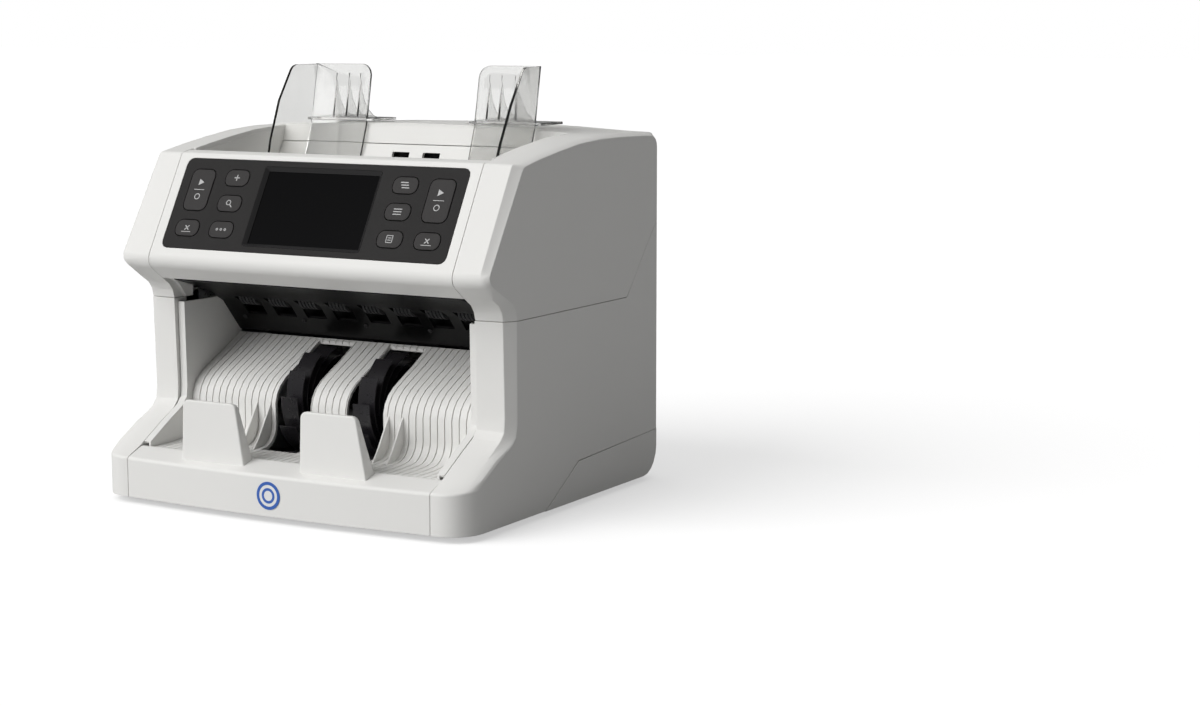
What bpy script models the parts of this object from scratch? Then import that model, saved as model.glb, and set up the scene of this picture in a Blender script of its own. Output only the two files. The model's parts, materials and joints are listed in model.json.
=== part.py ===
"""Banknote counting machine: casing, key panel, hopper with two sliding guides, stacker and drive.

Run with blender --background --python part.py. Sizes below are in millimetres and the scene is in metres.
X runs to the right, Y to the back and Z up. The origin is under the middle of the machine, on the table.
"""

import math

import bmesh
import bpy
from mathutils import Vector

MM = 0.001
GAP = 0.3
CLEARANCE = 0.4
WALL = 2.6
PAST = 5.0

# Casing
HALF_WIDTH = 150.0
BACK = 135.0
SEAM = 124.0
CHEEK_TURN = 144.5
SPLIT = 136.0
BASE = 4.0
BASE_CORNER = 22.0
CROWN = 4.0
TOP = 251.5
BADGE = ((0.0, 18.7), 9.5)
BADGE_DEPTH = (-135.0, -134.7)

# Key panel: the point at the middle of the fascia's top edge, and how far the fascia leans back
PANEL_TOP = (0.0, -62.5, 237.0)
PANEL_LEAN = 29.5
PANEL_HALF_WIDTH = 115.9
PANEL_HEIGHT = 67.8
PANEL_DROP = 38.0
DISPLAY_OPENING = (96.6, 59.6)
KEY_SIZE = (19.4, 11.8)
TALL_KEY_SIZE = (19.4, 30.8)
KEY_GROOVE = 0.6
INNER_COLUMN = 69.0
OUTER_COLUMN = 98.2
KEY_ROWS = (18.0, 37.2, 56.8)
TALL_KEY_ROW = 28.0

# Hopper
HOPPER_HALF_WIDTH = 121.9
GUIDE_SIDE = 95.0
GUIDE_INNER = 46.0
GUIDE_THICKNESS = 2.2
GUIDE_TOP = 296.7
GUIDE_FLARE = 4.0
GUIDE_LOW = 215.6
GUIDE_RIBS = (55.0, 65.0, 76.0)
GUIDE_FOOT = (41.0, 100.0)
SENSOR_SLOT = (13.0, 7.2)
PICKUP_SLOT = (36.0, 13.5)
STEM = (66.0, 74.0)
STEM_DEPTH = (65.6, 70.4)
GUIDE_IN = 38.0
GUIDE_OUT = 18.0
PINION_TEETH = 14
TOOTH_MODULE = 1.0
PINION_RADIUS = PINION_TEETH * TOOTH_MODULE / 2.0
PINION_PLACE = (0.0, 68.0, 241.0)
RACK_LOW = 238.5
RACK_HIGH = 243.5

# Stacker
BAY_HALF_WIDTH = 117.9
WHEEL_PLACE = (-28.0, 57.0)
WHEEL_TIP = 45.5
WHEEL_HUB = 13.0
WHEEL_MIDDLE = 30.0
WHEEL_HALF_WIDTH = 7.0
HUB_HALF_WIDTH = 7.6
HUB_BORE = 4.3
LEAF_COUNT = 14
LEAF_SWEEP = 2.6
LEAF_GROWTH = 1.15
LEAF_THICKNESS = 1.2
LEAF_STEPS = 9
WHEEL_SLOT = (15.0, 45.0)
SLOT_DEPTH = (-84.0, -13.0)
SLOT_HEIGHT = (20.0, 112.0)
NOTE_SHEET = 2.2
LINER = 1.8
STOPS = ((-79.0, -35.0, -26.0), (19.0, 63.0, 73.0))
STOP_TOP = 75.0

# Drive: place of each shaft as (y, z), and the radius of its pulley
DRUM = (22.0, 122.0, 18.0)
PICKUP = (5.0, 163.0, 9.0)
EXIT = (-27.0, 137.0, 6.0)
STACKER = (WHEEL_PLACE[0], WHEEL_PLACE[1], 14.0)
MOTOR = (75.0, 60.0, 7.0)
THICK_SHAFT = 4.0
THIN_SHAFT = 3.0
MOTOR_SHAFT = 2.5
SHAFT_END = 124.0
DRUM_RADIUS = 26.0
DRUM_CORE = 22.0
DRUM_END = 108.0
DRUM_TYRES = (-84.0, -28.0, 28.0, 84.0)
TYRE_HALF_WIDTH = 17.0
PICKUP_RADIUS = 14.0
PICKUP_MIDDLE = 36.0
PICKUP_HALF_WIDTH = 12.0
EXIT_RADIUS = 9.0
EXIT_FIRST = 14.0
EXIT_PITCH = 26.0
EXIT_HALF_WIDTH = 7.5
EXIT_SLOT_MARGIN = 1.0
FRAME_INNER = 120.0
FRAME_OUTER = 121.5
PULLEY_INNER = 126.5
PULLEY_OUTER = 132.5
BELT_THICKNESS = 1.4
BELT_MARGIN = 0.5
PULLEY_BOSS = 1.5
MOTOR_BODY = ((66.0, 14.0), (70.0, 17.0), (114.0, 17.0), (114.0, 8.0), (119.6, 8.0))
TIE_BAR = ((-50.0, 11.8), 4.0)

# Boxes inside the machine, as two opposite corners
SHAFT_ROOM = ((-125.0, -57.0, 95.0), (125.0, 132.0, 169.0))
MAIN_BOARD = ((-141.0, -48.0, 45.0), (-139.4, 118.0, 130.0))
POWER_SUPPLY = ((-20.0, 50.0, 8.0), (105.0, 112.0, 38.0))
IMAGE_SENSORS = {
    "front_image_sensor": ((-105.0, -13.0, 118.0), (105.0, -5.0, 138.0)),
    "rear_image_sensor": ((-105.0, 52.5, 112.0), (105.0, 60.5, 132.0)),
}
DISPLAY_MODULE = ((-52.0, -70.5, -9.0), (52.0, -8.0, -3.8))
KEYPAD_BOARD = ((-113.0, -75.0, -8.2), (113.0, -6.0, -6.6))
BOARD_NOTCH = ((-52.6, -71.2, -12.0), (52.6, 2.0, 0.0))
PAN_FLOOR = ((-120.5, -125.5, 4.0), (120.5, -20.0, 6.6))

# Rear
DOOR = (-103.4, 59.4, 177.4)
DOOR_HINGE = (133.2, 60.6)
SERVICE_X = 92.0
INLET_Z = 62.0
INLET_HALF = (13.8, 10.6)
SWITCH_Z = 92.0
SWITCH_HALF = (5.8, 9.6)
PORT_Z = 122.0
PORT_HALF = (7.8, 6.8)
REAR_HEIGHT = (36.6, 188.6)
REAR_DEPTH = (BACK - 10.0, BACK + PAST)
LUG_HEIGHT = (56.0, 66.0)
HINGE_PIN = 0.9
HINGE_BORE = 1.15
HINGE_BARREL = 1.65
GRIP = (-42.0, -2.0)
PAD_RADIUS = 8.0
PAD_PLACES = {
    "front_left_foot": (-110.0, -100.0), "front_right_foot": (110.0, -100.0),
    "rear_left_foot": (-110.0, 105.0), "rear_right_foot": (110.0, 105.0),
}

FINISHES = {
    "white_plastic": ((0.80, 0.79, 0.76), 0.42, 0.0),
    "dark_panel": ((0.045, 0.042, 0.042), 0.45, 0.0),
    "key_plastic": ((0.055, 0.052, 0.052), 0.5, 0.0),
    "black_plastic": ((0.012, 0.012, 0.014), 0.4, 0.0),
    "display_glass": ((0.004, 0.004, 0.005), 0.08, 0.0),
    "clear_plastic": ((0.78, 0.78, 0.77), 0.12, 0.0),
    "roller_rubber": ((0.02, 0.02, 0.022), 0.75, 0.0),
    "wheel_rubber": ((0.015, 0.013, 0.016), 0.6, 0.0),
    "steel": ((0.55, 0.56, 0.58), 0.35, 1.0),
    "board_green": ((0.02, 0.16, 0.07), 0.5, 0.0),
    "badge_blue": ((0.05, 0.12, 0.42), 0.35, 0.0),
    "nylon": ((0.75, 0.74, 0.70), 0.5, 0.0),
}


def clear_scene():
    for thing in list(bpy.data.objects):
        bpy.data.objects.remove(thing, do_unlink=True)


def material_for(finish):
    found = bpy.data.materials.get(finish)
    if found:
        return found
    colour, roughness, metallic = FINISHES[finish]
    material = bpy.data.materials.new(finish)
    material.use_nodes = True
    shader = material.node_tree.nodes["Principled BSDF"]
    shader.inputs["Base Color"].default_value = (*colour, 1.0)
    shader.inputs["Roughness"].default_value = roughness
    shader.inputs["Metallic"].default_value = metallic
    return material


# Outlines


def corner_arc(before, corner, after, radius, steps):
    """Points of a round corner between two straight sides."""
    corner = Vector(corner)
    first = (Vector(before) - corner).normalized()
    second = (Vector(after) - corner).normalized()
    half = first.angle(second) / 2.0
    centre = corner + (first + second).normalized() * radius / math.sin(half)
    start = corner + first * radius / math.tan(half) - centre
    end = corner + second * radius / math.tan(half) - centre
    turn = start.angle(end)
    points = []
    for step in range(steps + 1):
        part = step / steps
        spot = start * math.sin((1 - part) * turn) + end * math.sin(part * turn)
        points.append(tuple(centre + spot / math.sin(turn)))
    return points


def rounded(corners, closed=True, steps=4):
    """Outline through corners of (y, z) or (y, z, radius), with an arc at each that has a radius."""
    count = len(corners)
    points = []
    for index, corner in enumerate(corners):
        inside = closed or 0 < index < count - 1
        if len(corner) == 3 and corner[2] > 0 and inside:
            before = corners[index - 1][:2]
            after = corners[(index + 1) % count][:2]
            points += corner_arc(before, corner[:2], after, corner[2], steps)
        else:
            points.append(tuple(corner[:2]))
    return points


def offset_line(points, distance, closed):
    """The same line moved to its left by distance, with mitred corners."""
    count = len(points)
    moved = []
    for index, point in enumerate(points):
        here = Vector(point)
        before = Vector(points[index - 1]) if closed or index else None
        after = Vector(points[(index + 1) % count]) if closed or index < count - 1 else None
        incoming = (here - before).normalized() if before is not None else (after - here).normalized()
        outgoing = (after - here).normalized() if after is not None else incoming
        normal = Vector((-incoming.y - outgoing.y, incoming.x + outgoing.x)).normalized()
        stretch = max(0.3, normal.dot(Vector((-incoming.y, incoming.x))))
        moved.append(tuple(here + normal * distance / stretch))
    return moved


def area(points):
    total = 0.0
    for index, point in enumerate(points):
        last = points[index - 1]
        total += last[0] * point[1] - point[0] * last[1]
    return total / 2.0


def inset(points, distance):
    """A closed outline moved inwards."""
    return offset_line(points, distance if area(points) > 0 else -distance, True)


def sheet(points, thickness):
    """The outline of a bent sheet whose one face follows the points; the other lies to their left."""
    return list(points) + offset_line(points, thickness, False)[::-1]


def circle(centre, radius, sides):
    points = []
    for side in range(sides):
        turn = 2.0 * math.pi * side / sides
        points.append((centre[0] + radius * math.cos(turn), centre[1] + radius * math.sin(turn)))
    return points


def rectangle(width, height, radius, centre=(0.0, 0.0), steps=3):
    x, y = centre
    corners = []
    for across, up in ((-1, -1), (1, -1), (1, 1), (-1, 1)):
        corners.append((x + across * width / 2.0, y + up * height / 2.0, radius))
    return rounded(corners, True, steps)


def hull(points):
    """Convex outline round a set of points, anticlockwise."""
    ordered = sorted(set((round(a, 6), round(b, 6)) for a, b in points))

    def chain(line):
        kept = []
        for point in line:
            while len(kept) > 1:
                first, second = kept[-2], kept[-1]
                turn = (second[0] - first[0]) * (point[1] - first[1])
                turn -= (second[1] - first[1]) * (point[0] - first[0])
                if turn > 0:
                    break
                kept.pop()
            kept.append(point)
        return kept[:-1]

    return chain(ordered) + chain(reversed(ordered))


# Solids


def loft(mesh, sections):
    """A closed body through rings of points that all have the same number of points."""
    rings = [[mesh.verts.new(point) for point in section] for section in sections]
    count = len(rings[0])
    for lower, upper in zip(rings, rings[1:]):
        for index in range(count):
            after = (index + 1) % count
            mesh.faces.new((lower[index], lower[after], upper[after], upper[index]))
    mesh.faces.new(rings[0][::-1])
    mesh.faces.new(rings[-1])


def prism(mesh, outline, low, high, axis="X"):
    """An outline carried along an axis. The outline is (y, z) for X, (x, z) for Y and (x, y) for Z."""
    sections = []
    for place in (low, high):
        if axis == "X":
            sections.append([(place, a, b) for a, b in outline])
        elif axis == "Y":
            sections.append([(a, place, b) for a, b in outline])
        else:
            sections.append([(a, b, place) for a, b in outline])
    loft(mesh, sections)


def block(mesh, low, high):
    middle = [(a + b) / 2.0 for a, b in zip(low, high)]
    size = [b - a for a, b in zip(low, high)]
    made = bmesh.ops.create_cube(mesh, size=1.0)
    for vertex in made["verts"]:
        vertex.co = Vector([middle[i] + vertex.co[i] * size[i] for i in range(3)])


def turned(mesh, centre, stations, sides=24):
    """A body turned about a line along X, from (x, radius) stations."""
    sections = []
    for x, radius in stations:
        sections.append([(x, y, z) for y, z in circle(centre, radius, sides)])
    loft(mesh, sections)


def rod(mesh, centre, radius, low, high, axis="X", sides=24):
    prism(mesh, circle(centre, radius, sides), low, high, axis)


def place(mesh, name, origin=(0.0, 0.0, 0.0), parent=None):
    """Makes an object of the mesh, scaled to metres about its own origin."""
    start = Vector(origin)
    for vertex in mesh.verts:
        vertex.co = (vertex.co - start) * MM
    bmesh.ops.recalc_face_normals(mesh, faces=mesh.faces)
    data = bpy.data.meshes.new(name)
    mesh.to_mesh(data)
    mesh.free()
    thing = bpy.data.objects.new(name, data)
    thing.location = start * MM
    thing.parent = parent
    bpy.context.scene.collection.objects.link(thing)
    return thing


def piece(mesh, name, finish, origin=(0.0, 0.0, 0.0), parent=None, smooth=True):
    thing = place(mesh, name, origin, parent)
    thing.data.materials.append(material_for(finish))
    if smooth:
        thing.data.shade_smooth()
        thing.data.set_sharp_from_angle(angle=math.radians(32.0))
    return thing


def combine(thing, mesh, operation, suffix, parent=None, solver="EXACT"):
    """Cuts a helper from a piece, or joins it on."""
    helper = place(mesh, thing.name + "_" + suffix, (0.0, 0.0, 0.0), parent)
    helper.hide_render = True
    helper.display_type = "WIRE"
    boolean = thing.modifiers.new(suffix, "BOOLEAN")
    boolean.operation = operation
    boolean.solver = solver
    boolean.object = helper


def cut(thing, mesh, suffix="cutter", parent=None, solver="EXACT"):
    combine(thing, mesh, "DIFFERENCE", suffix, parent, solver)


def join(thing, mesh, suffix="added", parent=None, solver="EXACT"):
    combine(thing, mesh, "UNION", suffix, parent, solver)


# Casing profiles. Each corner is (y, z, radius); the first list is at the seam, the second at the outer face.

UPPER_SEAM = (
    (-75.0, 136.3), (-76.6, 141.7), (-80.0, 146.5), (-87.5, 151.4), (-104.0, 163.7, 8.0), (-62.5, 237.0, 4.0),
    (-35.0, 242.0), (-9.5, 246.0), (17.0, 249.5), (45.0, 251.3), (73.0, 251.5), (112.0, 250.8),
    (135.0, 249.6, 9.0), (135.0, 190.3), (125.0, 185.3), (110.0, 168.3), (83.0, 136.3),
)
UPPER_EDGE = (
    (-65.0, 136.3), (-65.5, 143.0), (-70.0, 148.0), (-78.5, 152.6), (-100.0, 164.6, 6.0), (-55.8, 235.0, 8.0),
    (-35.0, 239.0), (-9.5, 243.0), (17.0, 246.5), (45.0, 248.2), (73.0, 248.4), (112.0, 247.6),
    (127.0, 246.4, 8.0), (127.0, 186.3), (125.0, 185.3), (110.0, 168.3), (83.0, 136.3),
)
LOWER_SEAM = (
    (-129.5, 4.3), (-129.5, 31.9, 2.5), (-116.0, 38.0), (-94.0, 51.0), (-79.0, 59.3), (-74.5, 64.5), (-73.5, 74.0),
    (-75.5, 136.0), (83.0, 136.0), (110.0, 168.0), (125.0, 185.0), (135.0, 190.0), (135.0, 36.3),
    (124.0, 35.8), (14.6, 31.3), (-30.0, 4.3),
)
LOWER_EDGE = (
    (-107.5, 4.3), (-107.5, 33.5, 2.0), (-104.0, 39.0), (-88.0, 47.8), (-71.5, 55.6), (-67.0, 60.0), (-65.0, 68.0),
    (-65.0, 136.0), (83.0, 136.0), (110.0, 168.0), (125.0, 185.0), (127.0, 186.0), (127.0, 36.3),
    (124.0, 35.8), (14.6, 31.3), (-30.0, 4.3),
)
BASE_POINTS = 4
PAN_OUTLINE = (
    (-29.6, 4.0), (115.0, 4.0), (134.7, 4.0, 19.0), (134.7, 35.9), (124.0, 35.4), (14.8, 30.9),
)
NOTE_FACE = (
    (-10.5, 105.4), (-31.0, 94.5), (-43.0, 88.7), (-54.0, 83.0), (-60.0, 78.4), (-64.0, 73.0), (-66.0, 66.7),
    (-66.0, 38.5, 14.0), (-90.0, 36.9, 6.0), (-111.8, 36.6),
)
LINER_EDGE = (
    (-72.0, 133.4), (-71.0, 74.0), (-71.8, 66.5), (-76.5, 61.0), (-92.0, 52.4), (-111.7, 40.6),
)
EXIT_FACE = ((-83.0, 150.2), (-60.0, 143.6), (-43.0, 137.0), (-30.0, 130.0), (-10.5, 107.2))
HOPPER_BACK = ((46.8, 240.2), (43.0, 232.0), (26.0, 190.0, 10.0), (12.0, 176.2, 12.0), (-14.0, 173.4, 20.0),
               (-46.0, 184.0))
FASCIA_FACE = ((-53.0, 238.4), (-62.5, 237.0, 3.0), (-104.0, 163.7, 8.0), (-87.5, 151.4))


def side_part(x):
    """How far a side has turned in: 0 at the seam, 1 at the outer face."""
    turn = 0.18
    if x <= CHEEK_TURN:
        return turn * max(0.0, (x - SEAM) / (CHEEK_TURN - SEAM))
    return turn + (1.0 - turn) * (x - CHEEK_TURN) / (HALF_WIDTH - CHEEK_TURN)


def base_part(x):
    """The same for the foot of the side, which turns on a round corner."""
    start = HALF_WIDTH - BASE_CORNER
    if x <= start:
        return 0.0
    return 1.0 - math.sqrt(max(0.0, 1.0 - ((x - start) / BASE_CORNER) ** 2))


def crown(x):
    return CROWN * max(0.0, 1.0 - (x / SEAM) ** 2)


def side_section(seam, edge, x, base_points=0):
    """Ring of a casing side at x, between its profile at the seam and its profile at the outer face."""
    first = rounded(seam)
    second = rounded(edge)
    ring = []
    for index, (near, far) in enumerate(zip(first, second)):
        part = base_part(abs(x)) if index < base_points else side_part(abs(x))
        y = near[0] + (far[0] - near[0]) * part
        z = near[1] + (far[1] - near[1]) * part
        if z > 240.0 and abs(x) < SEAM:
            z += crown(x)
        ring.append((x, y, z))
    return ring


def build_upper_casing():
    mesh = bmesh.new()
    half = (0.0, 45.0, 85.0, SEAM, CHEEK_TURN, HALF_WIDTH)
    places = [-x for x in half[:0:-1]] + list(half)
    loft(mesh, [side_section(UPPER_SEAM, UPPER_EDGE, x) for x in places])
    casing = piece(mesh, "upper_casing", "white_plastic")

    edge = rounded(UPPER_EDGE)
    front_and_top = edge[: len(edge) - 4]
    chamber = inset([(-65.0, 95.0)] + front_and_top + [(127.0, 95.0)], WALL)
    hollow = bmesh.new()
    for side in (-1, 1):
        prism(hollow, chamber, side * (SEAM + 0.7), side * (HALF_WIDTH - WALL))
    cut(casing, hollow, "cheek_hollows")

    under_top = TOP - WALL
    centre = bmesh.new()
    well = (
        (-145.0, 95.0), (132.4, 95.0), (132.4, 238.0), (124.0, under_top), (56.0, under_top), (50.0, 239.8),
        (46.9, 240.6), (51.0, 253.0), (51.6, 300.0), (-145.0, 300.0),
    )
    prism(centre, well, -HOPPER_HALF_WIDTH, HOPPER_HALF_WIDTH)
    cut(casing, centre, "well")

    seat = bmesh.new()
    seat_outline = (
        (-50.0, 234.8), (-60.6, 233.6), (-96.6, 170.6), (-95.0, 162.6), (-83.5, 153.8), (-72.0, 146.0),
        (-60.0, 130.0), (-145.0, 130.0), (-145.0, 262.0), (-50.0, 262.0),
    )
    prism(seat, seat_outline, -SEAM - 0.15, SEAM + 0.15)
    cut(casing, seat, "fascia_seat", solver="MANIFOLD")

    shafts = bmesh.new()
    block(shafts, *SHAFT_ROOM)
    cut(casing, shafts, "shaft_room")

    slots = bmesh.new()
    for side in (-1, 1):
        ends = sorted((side * (STEM[0] - GUIDE_IN - 1.0), side * (STEM[1] + GUIDE_OUT + 1.0)))
        block(slots, (ends[0], STEM_DEPTH[0] - 0.6, 240.0), (ends[1], STEM_DEPTH[1] + 0.6, 265.0))
    cut(casing, slots, "guide_slots")

    post = bmesh.new()
    rod(post, PINION_PLACE[:2], 2.4, RACK_LOW + 0.5, under_top + 1.0, "Z", 16)
    join(casing, post, "pinion_post")


def build_lower_sides():
    places = (SEAM, 130.0, 135.0, 139.0, 142.0, CHEEK_TURN, 147.0, 149.0, HALF_WIDTH)
    base_count = BASE_POINTS + len(rounded(LOWER_EDGE[:3])) - 3
    front = rounded(LOWER_EDGE[:7])
    hollow_line = inset(front + [(-65.0, 210.0), (127.0, 210.0), (127.0, 36.3), (14.6, 31.3), (-30.0, 4.3)], WALL)
    for name, side in (("left_lower_side", -1), ("right_lower_side", 1)):
        mesh = bmesh.new()
        rings = [side_section(LOWER_SEAM, LOWER_EDGE, side * x, base_count) for x in places]
        loft(mesh, rings)
        shell = piece(mesh, name, "white_plastic")
        hollow = bmesh.new()
        prism(hollow, hollow_line, side * (SEAM + WALL), side * (HALF_WIDTH - WALL))
        cut(shell, hollow, "hollow")
        inner = bmesh.new()
        window = ((-62.0, 10.0), (-32.0, 10.0), (12.0, 40.0), (124.0, 40.0), (124.0, 200.0), (-62.0, 200.0))
        prism(inner, window, side * (SEAM - 2.0), side * (SEAM + WALL + 1.0))
        cut(shell, inner, "inner_window")


def build_base_pan():
    outline = rounded(PAN_OUTLINE, True, 5)
    mesh = bmesh.new()
    rings = []
    for x in (-HALF_WIDTH, -147.0, -142.0, 142.0, 147.0, HALF_WIDTH):
        back = 8.0 - math.sqrt(max(0.0, 64.0 - max(0.0, abs(x) - 142.0) ** 2))
        rings.append([(x, y - back if y > 100.0 else y, z) for y, z in outline])
    loft(mesh, rings)
    pan = piece(mesh, "base_pan", "white_plastic")
    hollow = bmesh.new()
    inner = rounded(((-26.0, BASE + WALL), (126.5, BASE + WALL, 14.0), (126.5, 60.0), (-26.0, 60.0)))
    prism(hollow, inner, -HALF_WIDTH + 5.0, HALF_WIDTH - 5.0)
    cut(pan, hollow, "hollow")
    floor = bmesh.new()
    block(floor, *PAN_FLOOR)
    join(pan, floor, "front_floor")


def build_front_deck():
    section = rounded((
        (-129.5, 4.3), (-129.5, 31.9, 2.5), (-115.0, 37.6), (-112.2, 37.6), (-112.2, 34.2), (-115.6, 34.2),
        (-126.4, 29.8), (-126.4, 4.3),
    ))
    half = SEAM - GAP
    mesh = bmesh.new()
    rings = []
    for index in range(9):
        x = -half + 2.0 * half * index / 8.0
        bulge = 4.9 * (1.0 - (x / SEAM) ** 2)
        rings.append([(x, y - bulge if y < -120.0 else y, z) for y, z in section])
    loft(mesh, rings)
    bmesh.ops.triangulate(mesh, faces=mesh.faces)
    deck = piece(mesh, "front_deck", "white_plastic")
    stops = bmesh.new()
    for left, right, foot in STOPS:
        face = rounded(((left, 31.0), (foot, 31.0), (right, STOP_TOP, 4.0), (left, STOP_TOP, 4.0)))
        front = [(x, -126.0 + 0.05 * (z - 31.0), z) for x, z in face]
        back = [(x, -114.2 - 0.13 * (z - 31.0), z) for x, z in face]
        loft(stops, [front, back])
    bmesh.ops.triangulate(stops, faces=stops.faces)
    join(deck, stops, "stops", solver="MANIFOLD")


def build_rear_panel():
    half = SEAM - GAP
    mesh = bmesh.new()
    block(mesh, (-half, BACK - WALL, REAR_HEIGHT[0]), (half, BACK, REAR_HEIGHT[1]))
    panel = piece(mesh, "rear_panel", "white_plastic")
    lugs = bmesh.new()
    for edge, side in ((DOOR[0] - CLEARANCE, -1), (DOOR[1] + CLEARANCE, 1)):
        ends = sorted((edge, edge + side * 4.5))
        block(lugs, (ends[0], BACK - 6.0, LUG_HEIGHT[0]), (ends[1], BACK - 0.5, LUG_HEIGHT[1]))
    join(panel, lugs, "hinge_lugs")
    openings = bmesh.new()
    front, behind = REAR_DEPTH
    low = DOOR_HINGE[1] - 2.2
    block(openings, (DOOR[0] - CLEARANCE, front, low), (DOOR[1] + CLEARANCE, behind, DOOR[2] + CLEARANCE))
    services = ((INLET_Z, INLET_HALF, 0.4), (SWITCH_Z, SWITCH_HALF, 0.6), (PORT_Z, PORT_HALF, 0.4))
    for height, half_size, room in services:
        across, up = half_size[0] + room, half_size[1] + room
        block(openings, (SERVICE_X - across, front, height - up), (SERVICE_X + across, behind, height + up))
    cut(panel, openings, "openings")
    bores = bmesh.new()
    rod(bores, DOOR_HINGE, HINGE_BORE, DOOR[0] - 3.5, DOOR[1] + 3.5, "X", 16)
    cut(panel, bores, "hinge_bores")


def build_rear_door():
    left, right, top = DOOR
    y, z = DOOR_HINGE
    mesh = bmesh.new()
    block(mesh, (left, BACK - WALL, z), (right, BACK - 0.1, top))
    door = piece(mesh, "rear_door", "white_plastic", (0.0, y, z))
    barrel = bmesh.new()
    pin, thick = HINGE_PIN, HINGE_BARREL
    stations = ((left - 3.0, pin), (left, pin), (left, thick), (right, thick), (right, pin), (right + 3.0, pin))
    turned(barrel, DOOR_HINGE, stations, 16)
    join(door, barrel, "barrel")
    grip = bmesh.new()
    block(grip, (GRIP[0], BACK - 1.4, top - 9.0), (GRIP[1], BACK + PAST, top - 3.0))
    cut(door, grip, "finger_grip")


def build_feet():
    for name, middle in PAD_PLACES.items():
        mesh = bmesh.new()
        sections = []
        for z, radius in ((0.0, PAD_RADIUS - 1.2), (1.0, PAD_RADIUS), (BASE - GAP, PAD_RADIUS)):
            sections.append([(a, b, z) for a, b in circle(middle, radius, 24)])
        loft(mesh, sections)
        piece(mesh, name, "roller_rubber")


# Key panel. Its parts are drawn flat and hang on an empty that leans with the fascia.


def build_panel_frame():
    frame = bpy.data.objects.new("panel_frame", None)
    frame.location = Vector(PANEL_TOP) * MM
    frame.rotation_euler = (math.radians(90.0 - PANEL_LEAN), 0.0, 0.0)
    bpy.context.scene.collection.objects.link(frame)
    return frame


def key_places():
    """Name, middle and size of every key."""
    names = {
        "left_start_key": (-OUTER_COLUMN, TALL_KEY_ROW, TALL_KEY_SIZE),
        "left_clear_key": (-OUTER_COLUMN, KEY_ROWS[2], KEY_SIZE),
        "right_start_key": (OUTER_COLUMN, TALL_KEY_ROW, TALL_KEY_SIZE),
        "right_clear_key": (OUTER_COLUMN, KEY_ROWS[2], KEY_SIZE),
    }
    for side, kinds in ((-1, ("add_key", "detect_key", "mode_key")), (1, ("batch_key", "menu_key", "report_key"))):
        for kind, row in zip(kinds, KEY_ROWS):
            names[kind] = (side * INNER_COLUMN, row, KEY_SIZE)
    return names


def build_fascia(frame):
    half = SEAM - 0.15
    mesh = bmesh.new()
    prism(mesh, sheet(rounded(FASCIA_FACE, False), 2.5), -half, half)
    fascia = piece(mesh, "fascia", "white_plastic")
    window = bmesh.new()
    outline = rectangle(2 * PANEL_HALF_WIDTH + 0.6, PANEL_HEIGHT + 0.6, 5.3, (0.0, -PANEL_DROP))
    prism(window, outline, -6.0, 3.0, "Z")
    cut(fascia, window, "panel_window", frame)


def build_keypad_panel(frame):
    mesh = bmesh.new()
    outline = rectangle(2 * PANEL_HALF_WIDTH, PANEL_HEIGHT, 5.0, (0.0, -PANEL_DROP))
    prism(mesh, outline, -2.0, 0.2, "Z")
    panel = piece(mesh, "keypad_panel", "dark_panel", parent=frame)
    holes = bmesh.new()
    prism(holes, rectangle(*DISPLAY_OPENING, 2.0, (0.0, -PANEL_DROP)), -4.0, 3.0, "Z")
    for x, row, size in key_places().values():
        hole = rectangle(size[0] + 2 * KEY_GROOVE, size[1] + 2 * KEY_GROOVE, 5.4, (x, -row))
        prism(holes, hole, -4.0, 3.0, "Z")
    cut(panel, holes, "openings", frame)


def build_keys(frame):
    for name, (x, row, size) in key_places().items():
        mesh = bmesh.new()
        sections = []
        for height, shrink in ((-4.6, 0.0), (0.15, 0.0), (0.6, 0.6)):
            ring = rectangle(size[0] - 2 * shrink, size[1] - 2 * shrink, 4.8 - shrink, (x, -row))
            sections.append([(a, b, height) for a, b in ring])
        loft(mesh, sections)
        piece(mesh, name, "key_plastic", (x, -row, 0.0), frame)


def build_display(frame):
    width, height = DISPLAY_OPENING
    mesh = bmesh.new()
    prism(mesh, rectangle(width + 4.0, height + 4.0, 2.0, (0.0, -PANEL_DROP)), -3.4, -2.3, "Z")
    piece(mesh, "display_window", "display_glass", parent=frame)
    mesh = bmesh.new()
    block(mesh, *DISPLAY_MODULE)
    piece(mesh, "display_module", "black_plastic", parent=frame)
    mesh = bmesh.new()
    block(mesh, *KEYPAD_BOARD)
    board = piece(mesh, "keypad_board", "board_green", parent=frame)
    notch = bmesh.new()
    block(notch, *BOARD_NOTCH)
    cut(board, notch, "display_notch", frame)


def build_badge():
    mesh = bmesh.new()
    rod(mesh, *BADGE, *BADGE_DEPTH, "Y", 40)
    piece(mesh, "front_badge", "badge_blue")


# Hopper


def build_hopper():
    half = HOPPER_HALF_WIDTH - CLEARANCE
    mesh = bmesh.new()
    prism(mesh, sheet(rounded(HOPPER_BACK, False)[::-1], -2.4), -half, half)
    back = piece(mesh, "hopper_back_plate", "white_plastic")
    holes = bmesh.new()
    for side in (-1, 1):
        middle, reach = side * SENSOR_SLOT[0], SENSOR_SLOT[1]
        block(holes, (middle - reach, 30.0, 230.2), (middle + reach, 55.0, 234.8))
        middle, reach = side * PICKUP_SLOT[0], PICKUP_SLOT[1]
        block(holes, (middle - reach, -9.0, 165.0), (middle + reach, 19.0, 184.0))
    cut(back, holes, "openings")
    mesh = bmesh.new()
    prism(mesh, sheet(((-54.0, 235.2), (-46.6, 187.0)), -2.0), -half, half)
    piece(mesh, "hopper_front_wall", "white_plastic")
    mesh = bmesh.new()
    prism(mesh, ((48.2, 226.0), (60.0, 226.0), (60.0, 237.5), (49.4, 237.5)), -24.0, 24.0)
    piece(mesh, "hopper_sensor", "black_plastic")


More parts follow.
